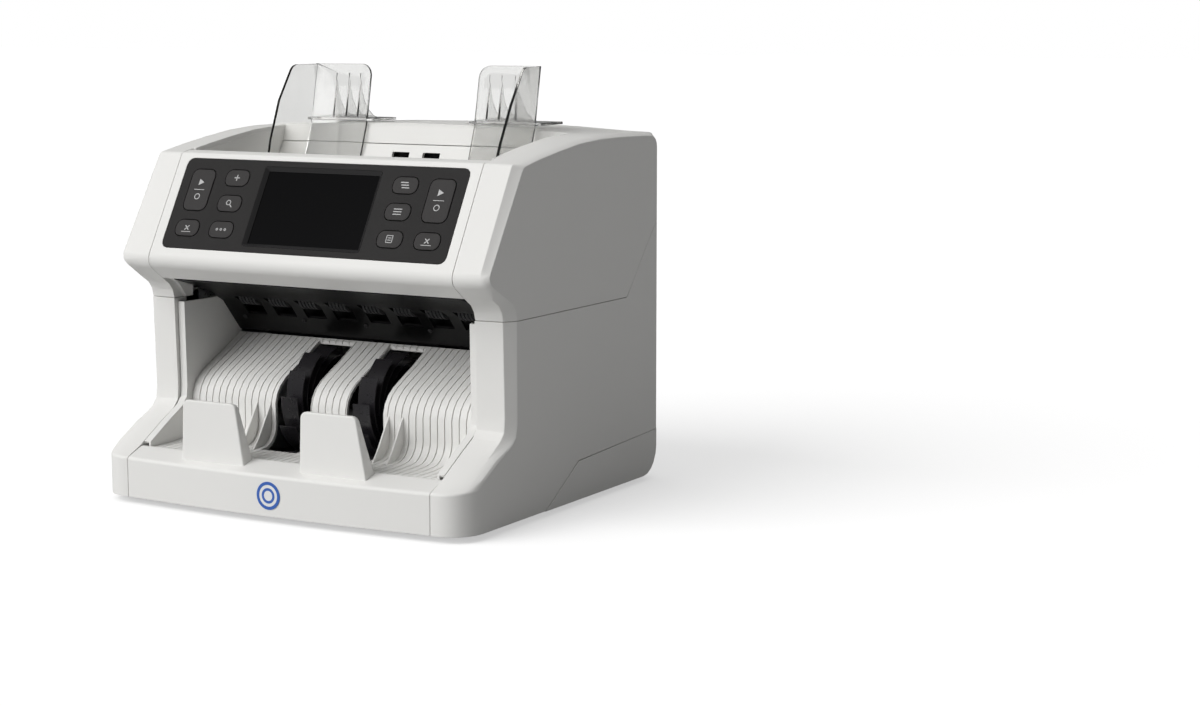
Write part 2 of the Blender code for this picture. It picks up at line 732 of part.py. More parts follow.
def build_guide(name, side):
    """A clear L-shaped guide with three ribs, a foot that slides on the top and a stem through it."""
    front_face = ((34.0, 217.0), (39.8, 230.0), (48.2, 253.4), (56.6, GUIDE_TOP))
    mesh = bmesh.new()
    ends = sorted((side * GUIDE_INNER, side * (GUIDE_SIDE + 0.2)))
    prism(mesh, sheet(front_face[::-1], -GUIDE_THICKNESS)[::-1], *ends)
    guide = piece(mesh, name, "clear_plastic", (side * GUIDE_SIDE, 68.0, 250.0))

    cheek = rounded((
        (-8.0, GUIDE_LOW), (1.5, 244.0), (14.0, 271.0), (31.0, GUIDE_TOP - 0.4, 9.0), (57.4, GUIDE_TOP - 0.4),
        (49.0, 253.4), (40.6, 230.0), (34.6, GUIDE_LOW),
    ))
    panel = bmesh.new()
    rings = []
    for shift in (0.0, GUIDE_THICKNESS):
        ring = []
        for y, z in cheek:
            lean = GUIDE_FLARE * (z - GUIDE_LOW) / (GUIDE_TOP - GUIDE_LOW) * min(1.0, max(0.0, (56.0 - y) / 40.0))
            ring.append((side * (GUIDE_SIDE - 1.4 + shift + lean), y, z))
        rings.append(ring)
    loft(panel, rings)
    bmesh.ops.triangulate(panel, faces=panel.faces)
    join(guide, panel, "side_panel", solver="MANIFOLD")

    foot = bmesh.new()
    ends = sorted((side * GUIDE_FOOT[0], side * GUIDE_FOOT[1]))
    block(foot, (ends[0], 49.5, TOP + CROWN + 0.4), (ends[1], 80.0, TOP + CROWN + 2.2))
    join(guide, foot, "foot", solver="MANIFOLD")
    ribs = bmesh.new()
    for x in GUIDE_RIBS:
        ends = sorted((side * x - 0.7, side * x + 0.7))
        prism(ribs, ((50.0, 256.6), (79.0, 256.6), (62.0, 268.0), (55.5, 289.0)), *ends)
    join(guide, ribs, "ribs", solver="MANIFOLD")
    stem = bmesh.new()
    ends = sorted((side * STEM[0], side * STEM[1]))
    block(stem, (ends[0], STEM_DEPTH[0], RACK_HIGH + GAP), (ends[1], STEM_DEPTH[1], TOP + CROWN + 1.2))
    join(guide, stem, "stem", solver="MANIFOLD")


def build_rack(name, side):
    """A toothed bar under the top. The left one runs in front of the pinion and the right one behind it."""
    pitch = math.pi * TOOTH_MODULE
    line = PINION_PLACE[1] + side * PINION_RADIUS
    root = line + side * 1.25
    far = line + side * 6.0
    ends = sorted((-side * 24.0, side * 78.0))
    outline = [(ends[0], far), (ends[0], root)]
    teeth = sorted((-side * 23.0, side * (STEM[0] - 6.0)))
    index = math.ceil(teeth[0] / pitch)
    while (index + 0.5) * pitch + 1.1 < teeth[1]:
        middle = (index + 0.5) * pitch
        for shift, height in ((-1.05, root), (-0.35, line - side * 0.85), (0.35, line - side * 0.85), (1.05, root)):
            outline.append((middle + shift, height))
        index += 1
    outline += [(ends[1], root), (ends[1], far)]
    if area(outline) < 0:
        outline = outline[::-1]
    mesh = bmesh.new()
    prism(mesh, outline, RACK_LOW, RACK_HIGH, "Z")
    rack = piece(mesh, name, "nylon", (side * STEM[0], far, RACK_LOW))
    arm = bmesh.new()
    across = sorted((side * (STEM[0] - 4.0), side * 77.8))
    deep = sorted((line + side * 4.0, PINION_PLACE[1] + side * -2.6))
    block(arm, (across[0], deep[0], RACK_LOW + 0.3), (across[1], deep[1], RACK_HIGH - 0.2))
    join(rack, arm, "arm", solver="MANIFOLD")


def build_pinion():
    outline = []
    for tooth in range(PINION_TEETH):
        middle = -math.pi / 2.0 + 2.0 * math.pi * tooth / PINION_TEETH
        for turn, radius in ((-0.17, 5.75), (-0.06, 7.8), (0.06, 7.8), (0.17, 5.75)):
            outline.append((radius * math.cos(middle + turn), PINION_PLACE[1] + radius * math.sin(middle + turn)))
    mesh = bmesh.new()
    prism(mesh, outline, RACK_LOW, RACK_HIGH, "Z")
    pinion = piece(mesh, "guide_pinion", "nylon", PINION_PLACE)
    bore = bmesh.new()
    rod(bore, PINION_PLACE[:2], 2.7, RACK_LOW - 3.0, RACK_HIGH + 3.0, "Z", 16)
    cut(pinion, bore, "bore")


# Stacker


def build_stacker_plate():
    half = BAY_HALF_WIDTH - CLEARANCE
    mesh = bmesh.new()
    prism(mesh, sheet(rounded(NOTE_FACE, False, 5), NOTE_SHEET), -half, half)
    plate = piece(mesh, "stacker_plate", "white_plastic")
    slots = bmesh.new()
    for side in (-1, 1):
        ends = sorted((side * WHEEL_SLOT[0], side * WHEEL_SLOT[1]))
        block(slots, (ends[0], SLOT_DEPTH[0], SLOT_HEIGHT[0]), (ends[1], SLOT_DEPTH[1], SLOT_HEIGHT[1]))
    cut(plate, slots, "wheel_slots")


def build_bay_sides():
    for name, side in (("left_bay_side", -1), ("right_bay_side", 1)):
        outline = list(LINER_EDGE) + [
            (-111.7, 33.6), (-59.0, 33.6), (-59.0, 66.0), (-50.0, 78.0), (-8.0, 99.0), (-8.0, 133.4),
        ]
        mesh = bmesh.new()
        prism(mesh, outline, side * BAY_HALF_WIDTH, side * (BAY_HALF_WIDTH + LINER))
        liner = piece(mesh, name, "white_plastic")
        flange = bmesh.new()
        prism(flange, sheet(LINER_EDGE, NOTE_SHEET), side * (BAY_HALF_WIDTH + 0.5), side * (SEAM - CLEARANCE))
        join(liner, flange, "flange")


def exit_places():
    return [side * (EXIT_FIRST + EXIT_PITCH * index) for side in (-1, 1) for index in range(4)]


def build_exit_housing():
    half = BAY_HALF_WIDTH - CLEARANCE
    mesh = bmesh.new()
    prism(mesh, sheet(EXIT_FACE, 2.0), -half, half)
    housing = piece(mesh, "exit_housing", "black_plastic")
    slots = bmesh.new()
    for x in exit_places():
        reach = EXIT_HALF_WIDTH + EXIT_SLOT_MARGIN
        block(slots, (x - reach, EXIT[0] - 12.0, EXIT[1] - 16.0), (x + reach, EXIT[0] + 6.0, EXIT[1] + 14.0))
    cut(housing, slots, "roller_slots")


def build_stacker_wheels():
    """Two wheels of curved leaves, pushed onto one shaft."""
    mesh = bmesh.new()
    turned(mesh, WHEEL_PLACE, with_pulley([(-SHAFT_END, THICK_SHAFT)], THICK_SHAFT, STACKER[2]), 24)
    piece(mesh, "stacker_shaft", "steel", (0.0, *WHEEL_PLACE))
    for name, middle in (("left_stacker_wheel", -WHEEL_MIDDLE), ("right_stacker_wheel", WHEEL_MIDDLE)):
        mesh = bmesh.new()
        rod(mesh, WHEEL_PLACE, WHEEL_HUB, middle - HUB_HALF_WIDTH, middle + HUB_HALF_WIDTH, "X", 36)
        wheel = piece(mesh, name, "wheel_rubber", (middle, *WHEEL_PLACE))
        leaves = bmesh.new()
        prism(leaves, leaf_outline(), middle - WHEEL_HALF_WIDTH, middle + WHEEL_HALF_WIDTH)
        join(wheel, leaves, "leaves")
        bore = bmesh.new()
        rod(bore, WHEEL_PLACE, HUB_BORE, middle - 2 * WHEEL_HALF_WIDTH, middle + 2 * WHEEL_HALF_WIDTH, "X", 24)
        cut(wheel, bore, "bore")


def leaf_outline():
    """Outline of a hub with long curved leaves wound round it, their free ends pointing back up at the front."""
    core = WHEEL_HUB - 1.5
    points = []
    for leaf in range(LEAF_COUNT):
        root_turn = 2.0 * math.pi * leaf / LEAF_COUNT
        line = []
        for step in range(LEAF_STEPS + 1):
            part = step / LEAF_STEPS
            radius = core + (WHEEL_TIP - LEAF_THICKNESS / 2.0 - core) * part ** LEAF_GROWTH
            turn = root_turn - LEAF_SWEEP * part
            line.append((WHEEL_PLACE[0] + radius * math.cos(turn), WHEEL_PLACE[1] + radius * math.sin(turn)))
        outer = offset_line(line, LEAF_THICKNESS / 2.0, False)
        inner = offset_line(line, -LEAF_THICKNESS / 2.0, False)
        points += inner + outer[::-1]
    return points


# Feed and drive


def roller_stations(length, core, radius, bands):
    """Stations of a shaft from -length to the pulley side, with wider bands at (low, high)."""
    stations = [(-length, core)]
    for low, high in sorted(bands):
        stations += [(low, core), (low, radius), (high, radius), (high, core)]
    return stations


def with_pulley(stations, core, pulley):
    return stations + [(PULLEY_INNER, core), (PULLEY_INNER, pulley), (PULLEY_OUTER, pulley),
                       (PULLEY_OUTER, core), (PULLEY_OUTER + PULLEY_BOSS, core)]


def build_rollers():
    mesh = bmesh.new()
    bands = [(x - TYRE_HALF_WIDTH, x + TYRE_HALF_WIDTH) for x in DRUM_TYRES]
    stations = [(-SHAFT_END, THICK_SHAFT), (-DRUM_END, THICK_SHAFT)]
    stations += roller_stations(DRUM_END, DRUM_CORE, DRUM_RADIUS, bands)
    stations += [(DRUM_END, DRUM_CORE), (DRUM_END, THICK_SHAFT)]
    turned(mesh, DRUM[:2], with_pulley(stations, THICK_SHAFT, DRUM[2]), 24)
    piece(mesh, "feed_drum", "roller_rubber", (0.0, *DRUM[:2]))

    mesh = bmesh.new()
    middles = (-PICKUP_MIDDLE, PICKUP_MIDDLE)
    bands = [(x - PICKUP_HALF_WIDTH, x + PICKUP_HALF_WIDTH) for x in middles]
    stations = roller_stations(SHAFT_END, THIN_SHAFT, PICKUP_RADIUS, bands)
    turned(mesh, PICKUP[:2], with_pulley(stations, THIN_SHAFT, PICKUP[2]), 24)
    piece(mesh, "pickup_roller", "roller_rubber", (0.0, *PICKUP[:2]))

    mesh = bmesh.new()
    bands = [(x - EXIT_HALF_WIDTH, x + EXIT_HALF_WIDTH) for x in exit_places()]
    stations = roller_stations(SHAFT_END, THIN_SHAFT, EXIT_RADIUS, bands)
    turned(mesh, EXIT[:2], with_pulley(stations, THIN_SHAFT, EXIT[2]), 16)
    piece(mesh, "exit_roller", "roller_rubber", (0.0, *EXIT[:2]))


def build_motor():
    mesh = bmesh.new()
    turned(mesh, MOTOR[:2], MOTOR_BODY, 28)
    piece(mesh, "main_motor", "steel")
    mesh = bmesh.new()
    turned(mesh, MOTOR[:2], with_pulley([(MOTOR_BODY[-1][0] + GAP, MOTOR_SHAFT)], MOTOR_SHAFT, MOTOR[2]), 20)
    piece(mesh, "motor_pulley", "steel", (PULLEY_INNER, *MOTOR[:2]))


def belt_line(extra):
    points = []
    for y, z, radius in (DRUM, PICKUP, EXIT, STACKER, MOTOR):
        points += circle((y, z), radius + extra, 40)
    return hull(points)


def build_belt():
    mesh = bmesh.new()
    prism(mesh, belt_line(GAP + BELT_THICKNESS), PULLEY_INNER + BELT_MARGIN, PULLEY_OUTER - BELT_MARGIN)
    belt = piece(mesh, "drive_belt", "roller_rubber")
    inside = bmesh.new()
    prism(inside, belt_line(GAP), PULLEY_INNER - 3.0, PULLEY_OUTER + 3.0)
    cut(belt, inside, "inside")


# Frame and electrics


def build_frame():
    outline = (
        (-58.0, 10.0), (118.0, 10.0), (118.0, 225.0), (66.0, 225.0), (36.0, 168.2), (-44.0, 168.2), (-52.0, 150.0),
    )
    for name, side in (("left_frame_plate", -1), ("right_frame_plate", 1)):
        mesh = bmesh.new()
        prism(mesh, outline, side * FRAME_INNER, side * FRAME_OUTER)
        plate = piece(mesh, name, "steel")
        holes = bmesh.new()
        shafts = ((DRUM, THICK_SHAFT), (PICKUP, THIN_SHAFT), (EXIT, THIN_SHAFT), (STACKER, THICK_SHAFT))
        ends = (side * (FRAME_INNER - PAST), side * (FRAME_OUTER + PAST))
        for centre, radius in shafts:
            rod(holes, centre[:2], radius + CLEARANCE, *ends)
        if side > 0:
            rod(holes, MOTOR[:2], MOTOR_SHAFT + 0.7, *ends)
        cut(plate, holes, "shaft_holes")
    mesh = bmesh.new()
    rod(mesh, *TIE_BAR, -FRAME_INNER + GAP, FRAME_INNER - GAP)
    piece(mesh, "tie_bar", "steel")
    for name, corners in IMAGE_SENSORS.items():
        mesh = bmesh.new()
        block(mesh, *corners)
        piece(mesh, name, "black_plastic")


def build_electrics():
    mesh = bmesh.new()
    block(mesh, *MAIN_BOARD)
    piece(mesh, "main_board", "board_green")
    mesh = bmesh.new()
    block(mesh, *POWER_SUPPLY)
    piece(mesh, "power_supply", "steel")

    mesh = bmesh.new()
    width, height = 2 * INLET_HALF[0], 2 * INLET_HALF[1]
    prism(mesh, rectangle(width, height, 1.5, (SERVICE_X, INLET_Z)), BACK - 15.0, BACK, "Y")
    inlet = piece(mesh, "mains_inlet", "black_plastic")
    socket = bmesh.new()
    mouth = ((-12.4, -8.4), (12.4, -8.4), (12.4, 3.4), (7.4, 8.4), (-7.4, 8.4), (-12.4, 3.4))
    prism(socket, [(SERVICE_X + x, INLET_Z + z) for x, z in mouth], BACK - 13.0, BACK + PAST, "Y")
    cut(inlet, socket, "socket")
    blades = bmesh.new()
    for x, z in ((-7.0, -2.0), (0.0, 2.0), (7.0, -2.0)):
        block(blades, (SERVICE_X + x - 1.0, 121.0, INLET_Z + z - 2.0), (SERVICE_X + x + 1.0, 130.6, INLET_Z + z + 2.0))
    join(inlet, blades, "blades")

    mesh = bmesh.new()
    tilt = math.radians(8.0)
    outline = []
    for y, z in ((-2.5, -8.0), (2.4, -9.2), (1.6, 0.0), (2.4, 9.2), (-2.5, 8.0), (-5.0, 0.0)):
        outline.append((131.0 + y * math.cos(tilt) - z * math.sin(tilt),
                        SWITCH_Z + y * math.sin(tilt) + z * math.cos(tilt)))
    prism(mesh, outline, SERVICE_X - SWITCH_HALF[0], SERVICE_X + SWITCH_HALF[0])
    piece(mesh, "power_switch", "black_plastic", (SERVICE_X, 131.0, SWITCH_Z))

    mesh = bmesh.new()
    across, up = PORT_HALF
    block(mesh, (SERVICE_X - across, BACK - 13.0, PORT_Z - up), (SERVICE_X + across, BACK - 0.2, PORT_Z + up))
    port = piece(mesh, "data_port", "black_plastic")
    slot = bmesh.new()
    across -= 2.0
    block(slot, (SERVICE_X - across, BACK - 11.0, PORT_Z - 4.6), (SERVICE_X + across, BACK + PAST, PORT_Z + 4.0))
    cut(port, slot, "slot")


def build_machine():
    clear_scene()
    frame = build_panel_frame()
    build_upper_casing()
    build_lower_sides()
    build_base_pan()
    build_front_deck()
    build_rear_panel()
    build_rear_door()
    build_feet()
    build_fascia(frame)
    build_keypad_panel(frame)
    build_keys(frame)
    build_display(frame)
    build_badge()
    build_hopper()
    for side, word in ((-1, "left"), (1, "right")):
        build_guide(word + "_guide", side)
        build_rack(word + "_rack", side)
    build_pinion()
    build_stacker_plate()
    build_bay_sides()
    build_exit_housing()
    build_stacker_wheels()
    build_rollers()
    build_motor()
    build_belt()
    build_frame()
    build_electrics()


build_machine()
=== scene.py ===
import json
import math

import bmesh
import bpy
from mathutils import Matrix, Vector


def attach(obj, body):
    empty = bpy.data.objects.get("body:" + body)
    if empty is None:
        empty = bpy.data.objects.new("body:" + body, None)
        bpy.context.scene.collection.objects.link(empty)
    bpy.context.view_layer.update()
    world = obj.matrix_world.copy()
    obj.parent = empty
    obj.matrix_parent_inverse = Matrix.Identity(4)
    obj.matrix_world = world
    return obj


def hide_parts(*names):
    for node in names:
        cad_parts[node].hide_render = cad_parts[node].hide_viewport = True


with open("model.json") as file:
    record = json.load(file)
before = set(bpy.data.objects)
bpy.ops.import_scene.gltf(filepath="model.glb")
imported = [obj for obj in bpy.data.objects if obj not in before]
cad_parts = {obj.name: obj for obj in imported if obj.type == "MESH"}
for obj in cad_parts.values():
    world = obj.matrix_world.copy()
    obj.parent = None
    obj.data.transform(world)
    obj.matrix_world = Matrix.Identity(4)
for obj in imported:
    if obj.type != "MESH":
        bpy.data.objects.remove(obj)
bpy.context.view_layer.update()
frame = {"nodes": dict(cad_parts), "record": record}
nodes = frame["nodes"]
mm = 0.001
print("frame loaded")


# selecting and editing

def clearSelection():
    if bpy.context.object and bpy.context.object.mode != "OBJECT":
        bpy.ops.object.mode_set(mode="OBJECT")
    bpy.ops.object.select_all(action="DESELECT")


def useOnly(piece):
    clearSelection()
    piece.select_set(True)
    bpy.context.view_layer.objects.active = piece


def startEdit(piece, kind="FACE"):
    useOnly(piece)
    bpy.ops.object.mode_set(mode="EDIT")
    bpy.ops.mesh.select_mode(type=kind)
    bpy.ops.mesh.select_all(action="DESELECT")


def endEdit():
    bpy.ops.object.mode_set(mode="OBJECT")


def pickFaces(test):  # test gets a face's middle in mm and its normal
    mesh = bmesh.from_edit_mesh(bpy.context.object.data)
    for face in mesh.faces:
        face.select_set(bool(test(face.calc_center_median() / mm, face.normal)))
    mesh.select_flush_mode()
    bmesh.update_edit_mesh(bpy.context.object.data)


def applyPlace(piece):
    useOnly(piece)
    bpy.ops.object.transform_apply(location=True, rotation=True, scale=True)


def applyModifier(piece, kind, **settings):
    useOnly(piece)
    modifier = piece.modifiers.new(kind.lower(), kind)
    for key, value in settings.items():
        setattr(modifier, key, value)
    bpy.ops.object.modifier_apply(modifier=modifier.name)


def soften(piece, width=0.4, segments=2):
    if width:
        applyModifier(piece, "BEVEL", width=width * mm, segments=segments, limit_method="ANGLE",
                      angle_limit=math.radians(30), use_clamp_overlap=False, harden_normals=False,
                      miter_outer="MITER_ARC")
    useOnly(piece)
    bpy.ops.object.shade_smooth_by_angle(angle=math.radians(35))
    applyModifier(piece, "WEIGHTED_NORMAL", keep_sharp=True, weight=50)


def faceOut(piece):
    startEdit(piece)
    bpy.ops.mesh.select_all(action="SELECT")
    bpy.ops.mesh.remove_doubles(threshold=0.00001)
    bpy.ops.mesh.normals_make_consistent(inside=False)
    endEdit()


def refined(name, node, width, segments=2):
    # a welded copy of a CAD node, with its edges softened
    piece = bpy.data.objects.new(name, nodes[node].data.copy())
    bpy.context.scene.collection.objects.link(piece)
    piece.data.materials.clear()
    startEdit(piece)
    bpy.ops.mesh.select_all(action="SELECT")
    bpy.ops.mesh.customdata_custom_splitnormals_clear()
    bpy.ops.mesh.mark_sharp(clear=True)
    bpy.ops.mesh.remove_doubles(threshold=0.00001)
    bpy.ops.mesh.dissolve_limited(angle_limit=math.radians(0.6))
    endEdit()
    soften(piece, width, segments)
    return piece


def finishPiece(piece, body, finish, *replaced):
    piece.data.materials.clear()
    piece.data.materials.append(finishes[finish])
    if replaced:
        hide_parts(*replaced)
    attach(piece, body)
    return piece


# drawing outlines

def rounded(corners, closed=True, steps=5):
    points = []
    count = len(corners)
    for index, corner in enumerate(corners):
        inside = closed or 0 < index < count - 1
        here = Vector(corner[:2])
        if len(corner) < 3 or not inside:
            points.append(tuple(here))
            continue
        first = (Vector(corners[index - 1][:2]) - here).normalized()
        second = (Vector(corners[(index + 1) % count][:2]) - here).normalized()
        half = first.angle(second) / 2
        centre = here + (first + second).normalized() * corner[2] / math.sin(half)
        start = here + first * corner[2] / math.tan(half) - centre
        end = here + second * corner[2] / math.tan(half) - centre
        turn = start.angle(end)
        for step in range(steps + 1):
            part = step / steps
            spot = start * math.sin((1 - part) * turn) + end * math.sin(part * turn)
            points.append(tuple(centre + spot / math.sin(turn)))
    return points


def alongside(line, distance):  # the same open line moved to its left
    moved = []
    for index, point in enumerate(line):
        here = Vector(point)
        before = (here - Vector(line[index - 1])).normalized() if index else None
        after = (Vector(line[index + 1]) - here).normalized() if index < len(line) - 1 else before
        before = before or after
        normal = Vector((-before.y - after.y, before.x + after.x)).normalized()
        stretch = max(0.3, normal.dot(Vector((-before.y, before.x))))
        moved.append(tuple(here + normal * distance / stretch))
    return moved


def bentSheet(line, thickness):
    return list(line) + alongside(line, thickness)[::-1]


def toPlace(axis, depth, point):
    a, b = point
    spot = {"X": (depth, a, b), "Y": (a, depth, b), "Z": (a, b, depth)}[axis]
    return Vector(spot) * mm


def drawOutline(name, points, axis="X", depth=0.0, fill=True):
    # one point drawn out along the outline, then closed and filled
    clearSelection()
    bpy.ops.mesh.primitive_plane_add(size=0.001)
    piece = bpy.context.object
    piece.name = name
    bpy.ops.object.mode_set(mode="EDIT")
    bpy.ops.mesh.select_mode(type="VERT")
    bpy.ops.mesh.merge(type="CENTER")
    places = [toPlace(axis, depth, point) for point in points]
    bpy.ops.transform.translate(value=places[0])
    for before, after in zip(places, places[1:]):
        bpy.ops.mesh.extrude_vertices_move(TRANSFORM_OT_translate={"value": after - before})
    if fill:
        bpy.ops.mesh.select_all(action="SELECT")
        bpy.ops.mesh.edge_face_add()
    endEdit()
    return piece


def drawn(name, points, axis, low, high, width=0.3, segments=2, stops=()):
    # an outline extruded from low to high, through any stops between
    piece = drawOutline(name, points, axis, low)
    startEdit(piece)
    bpy.ops.mesh.select_all(action="SELECT")
    before = low
    for stop in (*stops, high):
        step = toPlace(axis, stop - before, (0.0, 0.0))
        bpy.ops.mesh.extrude_region_move(TRANSFORM_OT_translate={"value": step})
        before = stop
    endEdit()
    faceOut(piece)
    if width is not None:
        soften(piece, width, segments)
    return piece


def joined(name, *parts):
    clearSelection()
    for part in parts:
        part.select_set(True)
    bpy.context.view_layer.objects.active = parts[0]
    bpy.ops.object.join()
    parts[0].name = name
    return parts[0]


def cutWith(piece, cutter, operation="DIFFERENCE"):
    applyModifier(piece, "BOOLEAN", operation=operation, object=cutter, solver="EXACT")
    bpy.data.objects.remove(cutter)


def boxAt(name, low, high, width=0.3):
    size = [b - a for a, b in zip(low, high)]
    middle = [(a + b) / 2 for a, b in zip(low, high)]
    clearSelection()
    bpy.ops.mesh.primitive_cube_add(size=1, location=Vector(middle) * mm, scale=Vector(size) * mm)
    piece = bpy.context.object
    piece.name = name
    applyPlace(piece)
    if width is not None:
        soften(piece, width)
    return piece


# the leaning key panel: u across, v up the slope from the fascia's top edge, w out of it
panelSeat = {"top": (0.0, -62.5, 237.0), "lean": 29.5}
panelTurn = Matrix.Rotation(math.radians(90 - panelSeat["lean"]), 4, "X")
panelPlace = Matrix.Translation(Vector(panelSeat["top"]) * mm) @ panelTurn


def ontoPanel(piece):
    piece.data.transform(panelPlace)
    piece.data.update()
    return piece


# finishes

def newGroup(name, inputs, outputs):
    group = bpy.data.node_groups.new(name, "ShaderNodeTree")
    for label, kind, value in inputs:
        socket = group.interface.new_socket(label, in_out="INPUT", socket_type="NodeSocket" + kind)
        socket.default_value = value
    for label, kind in outputs:
        group.interface.new_socket(label, in_out="OUTPUT", socket_type="NodeSocket" + kind)
    return group, group.nodes.new("NodeGroupInput"), group.nodes.new("NodeGroupOutput")


def addNode(tree, kind, **settings):
    node = tree.nodes.new("ShaderNode" + kind)
    for key, value in settings.items():
        setattr(node, key, value)
    return node


def mixColours(tree, share, first, second):
    node = addNode(tree, "Mix", data_type="RGBA", blend_type="MIX")
    for socket, value in ((node.inputs[0], share), (node.inputs[6], first), (node.inputs[7], second)):
        if hasattr(value, "links"):
            tree.links.new(value, socket)
        else:
            socket.default_value = value
    return node.outputs[2]


def mathNode(tree, operation, first, second=0.0, third=None):
    node = addNode(tree, "Math", operation=operation)
    for socket, value in zip(node.inputs, (first, second, third)):
        if value is None:
            continue
        if hasattr(value, "links"):
            tree.links.new(value, socket)
        else:
            socket.default_value = value
    return node.outputs[0]


def makeGrainGroup():
    # moulded grain: fine pits, a slow drift of colour and a little scuffing
    group, given, made = newGroup(
        "mouldedGrain",
        [("Colour", "Color", (0.8, 0.8, 0.8, 1)), ("Tint", "Color", (0.7, 0.7, 0.68, 1)),
         ("Drift", "Float", 0.1), ("Grain", "Float", 2600.0), ("Roughness", "Float", 0.4),
         ("Spread", "Float", 0.08), ("Depth", "Float", 0.1)],
        [("Colour", "Color"), ("Roughness", "Float"), ("Normal", "Vector")])
    place = addNode(group, "TexCoord")
    slow = addNode(group, "TexNoise")
    slow.inputs["Scale"].default_value = 14.0
    slow.inputs["Detail"].default_value = 3.0
    fine = addNode(group, "TexNoise")
    fine.inputs["Detail"].default_value = 2.0
    scuff = addNode(group, "TexNoise")
    scuff.inputs["Scale"].default_value = 160.0
    scuff.inputs["Detail"].default_value = 6.0
    scuff.inputs["Roughness"].default_value = 0.7
    for node in (slow, fine, scuff):
        group.links.new(place.outputs["Object"], node.inputs["Vector"])
    group.links.new(given.outputs["Grain"], fine.inputs["Scale"])
    share = mathNode(group, "MULTIPLY", slow.outputs["Fac"], given.outputs["Drift"])
    colour = mixColours(group, share, given.outputs["Colour"], given.outputs["Tint"])
    group.links.new(colour, made.inputs["Colour"])
    centred = mathNode(group, "SUBTRACT", scuff.outputs["Fac"], 0.5)
    pits = mathNode(group, "SUBTRACT", fine.outputs["Fac"], 0.5)
    both = mathNode(group, "ADD", centred, pits)
    rough = mathNode(group, "MULTIPLY_ADD", both, given.outputs["Spread"], given.outputs["Roughness"])
    group.links.new(rough, made.inputs["Roughness"])
    bump = addNode(group, "Bump")
    bump.inputs["Distance"].default_value = 0.0001
    group.links.new(given.outputs["Depth"], bump.inputs["Strength"])
    group.links.new(fine.outputs["Fac"], bump.inputs["Height"])
    group.links.new(bump.outputs["Normal"], made.inputs["Normal"])
    return group


def makeDustGroup():
    # settled dust: thin, and only on what faces up
    group, given, made = newGroup(
        "settledDust",
        [("Colour", "Color", (0.8, 0.8, 0.8, 1)), ("Roughness", "Float", 0.4), ("Amount", "Float", 0.1),
         ("Dust", "Color", (0.55, 0.53, 0.5, 1))],
        [("Colour", "Color"), ("Roughness", "Float")])
    place = addNode(group, "TexCoord")
    normal = addNode(group, "NewGeometry")
    parts = addNode(group, "SeparateXYZ")
    group.links.new(normal.outputs["Normal"], parts.inputs[0])
    cloud = addNode(group, "TexNoise")
    cloud.inputs["Scale"].default_value = 45.0
    cloud.inputs["Detail"].default_value = 8.0
    group.links.new(place.outputs["Object"], cloud.inputs["Vector"])
    up = mathNode(group, "MAXIMUM", parts.outputs["Z"], 0.0)
    mask = mathNode(group, "MULTIPLY", up, cloud.outputs["Fac"])
    mask = mathNode(group, "MULTIPLY", mask, given.outputs["Amount"])
    colour = mixColours(group, mask, given.outputs["Colour"], given.outputs["Dust"])
    group.links.new(colour, made.inputs["Colour"])
    rough = mathNode(group, "MULTIPLY_ADD", mask, 0.4, given.outputs["Roughness"])
    group.links.new(rough, made.inputs["Roughness"])
    return group


